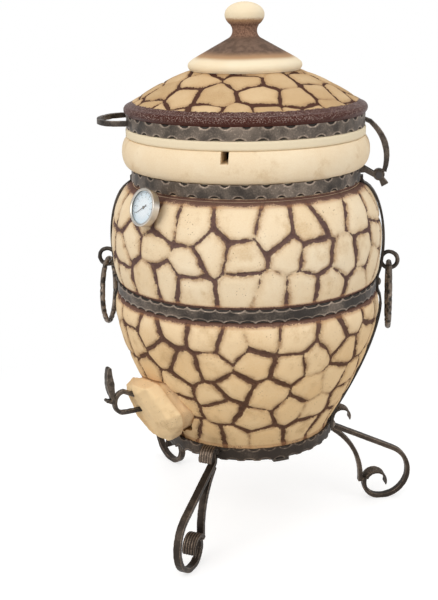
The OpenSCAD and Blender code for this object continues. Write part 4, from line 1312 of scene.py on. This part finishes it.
class TANDOOR_OT_stage(bpy.types.Operator):
    """Set the camera, the pale floor and the soft light"""

    bl_idname = "tandoor.stage"
    bl_label = "Stage"

    def execute(self, context):
        v = context.scene.tandoor_stage
        aim_camera(v)
        lay_floor()
        lamp("main lamp", (-1.5, -2.6, 2.3), (0, 0, 0.6), v.key, 2.2, (1, 0.985, 0.96))
        lamp("side lamp", (2.6, -1.4, 1.4), (0, 0, 0.5), v.key * 0.4, 1.8, (0.97, 0.985, 1))
        lamp("top lamp", (0.2, 0.4, 3.2), (0, 0, 0.5), v.key * 0.32, 2.4)
        light_sky(v)
        context.scene.view_settings.view_transform = "Standard"
        return {"FINISHED"}


STEPS = (TANDOOR_OT_stage, TANDOOR_OT_pot, TANDOOR_OT_lid, TANDOOR_OT_hoops, TANDOOR_OT_straps,
         TANDOOR_OT_bars, TANDOOR_OT_legs, TANDOOR_OT_door, TANDOOR_OT_thermometer)


class TANDOOR_PT_panel(bpy.types.Panel):
    """The oven's values and steps"""

    bl_idname = "TANDOOR_PT_panel"
    bl_label = "Clay tandoor oven"
    bl_space_type = "VIEW_3D"
    bl_region_type = "UI"
    bl_category = "Tandoor"

    def draw(self, context):
        for group in (context.scene.tandoor_clay, context.scene.tandoor_steel, context.scene.tandoor_stage):
            box = self.layout.box()
            for name in group.bl_rna.properties.keys():
                if name not in ("rna_type", "name"):
                    box.prop(group, name)
        for step in STEPS:
            self.layout.operator(step.bl_idname)


CLASSES = (ClayValues, SteelValues, StageValues, *STEPS, TANDOOR_PT_panel)


def register():
    for cls in CLASSES:
        bpy.utils.register_class(cls)
    bpy.types.Scene.tandoor_clay = PointerProperty(type=ClayValues)
    bpy.types.Scene.tandoor_steel = PointerProperty(type=SteelValues)
    bpy.types.Scene.tandoor_stage = PointerProperty(type=StageValues)


def unregister():
    del bpy.types.Scene.tandoor_stage
    del bpy.types.Scene.tandoor_steel
    del bpy.types.Scene.tandoor_clay
    for cls in reversed(CLASSES):
        bpy.utils.unregister_class(cls)


def main():
    """Builds every piece."""
    register()
    bpy.ops.tandoor.stage()
    bpy.ops.tandoor.pot()
    bpy.ops.tandoor.lid()
    bpy.ops.tandoor.hoops()
    bpy.ops.tandoor.straps()
    bpy.ops.tandoor.bars()
    bpy.ops.tandoor.legs()
    bpy.ops.tandoor.door()
    bpy.ops.tandoor.thermometer()
    put_down()


if __name__ == "__main__":
    main()
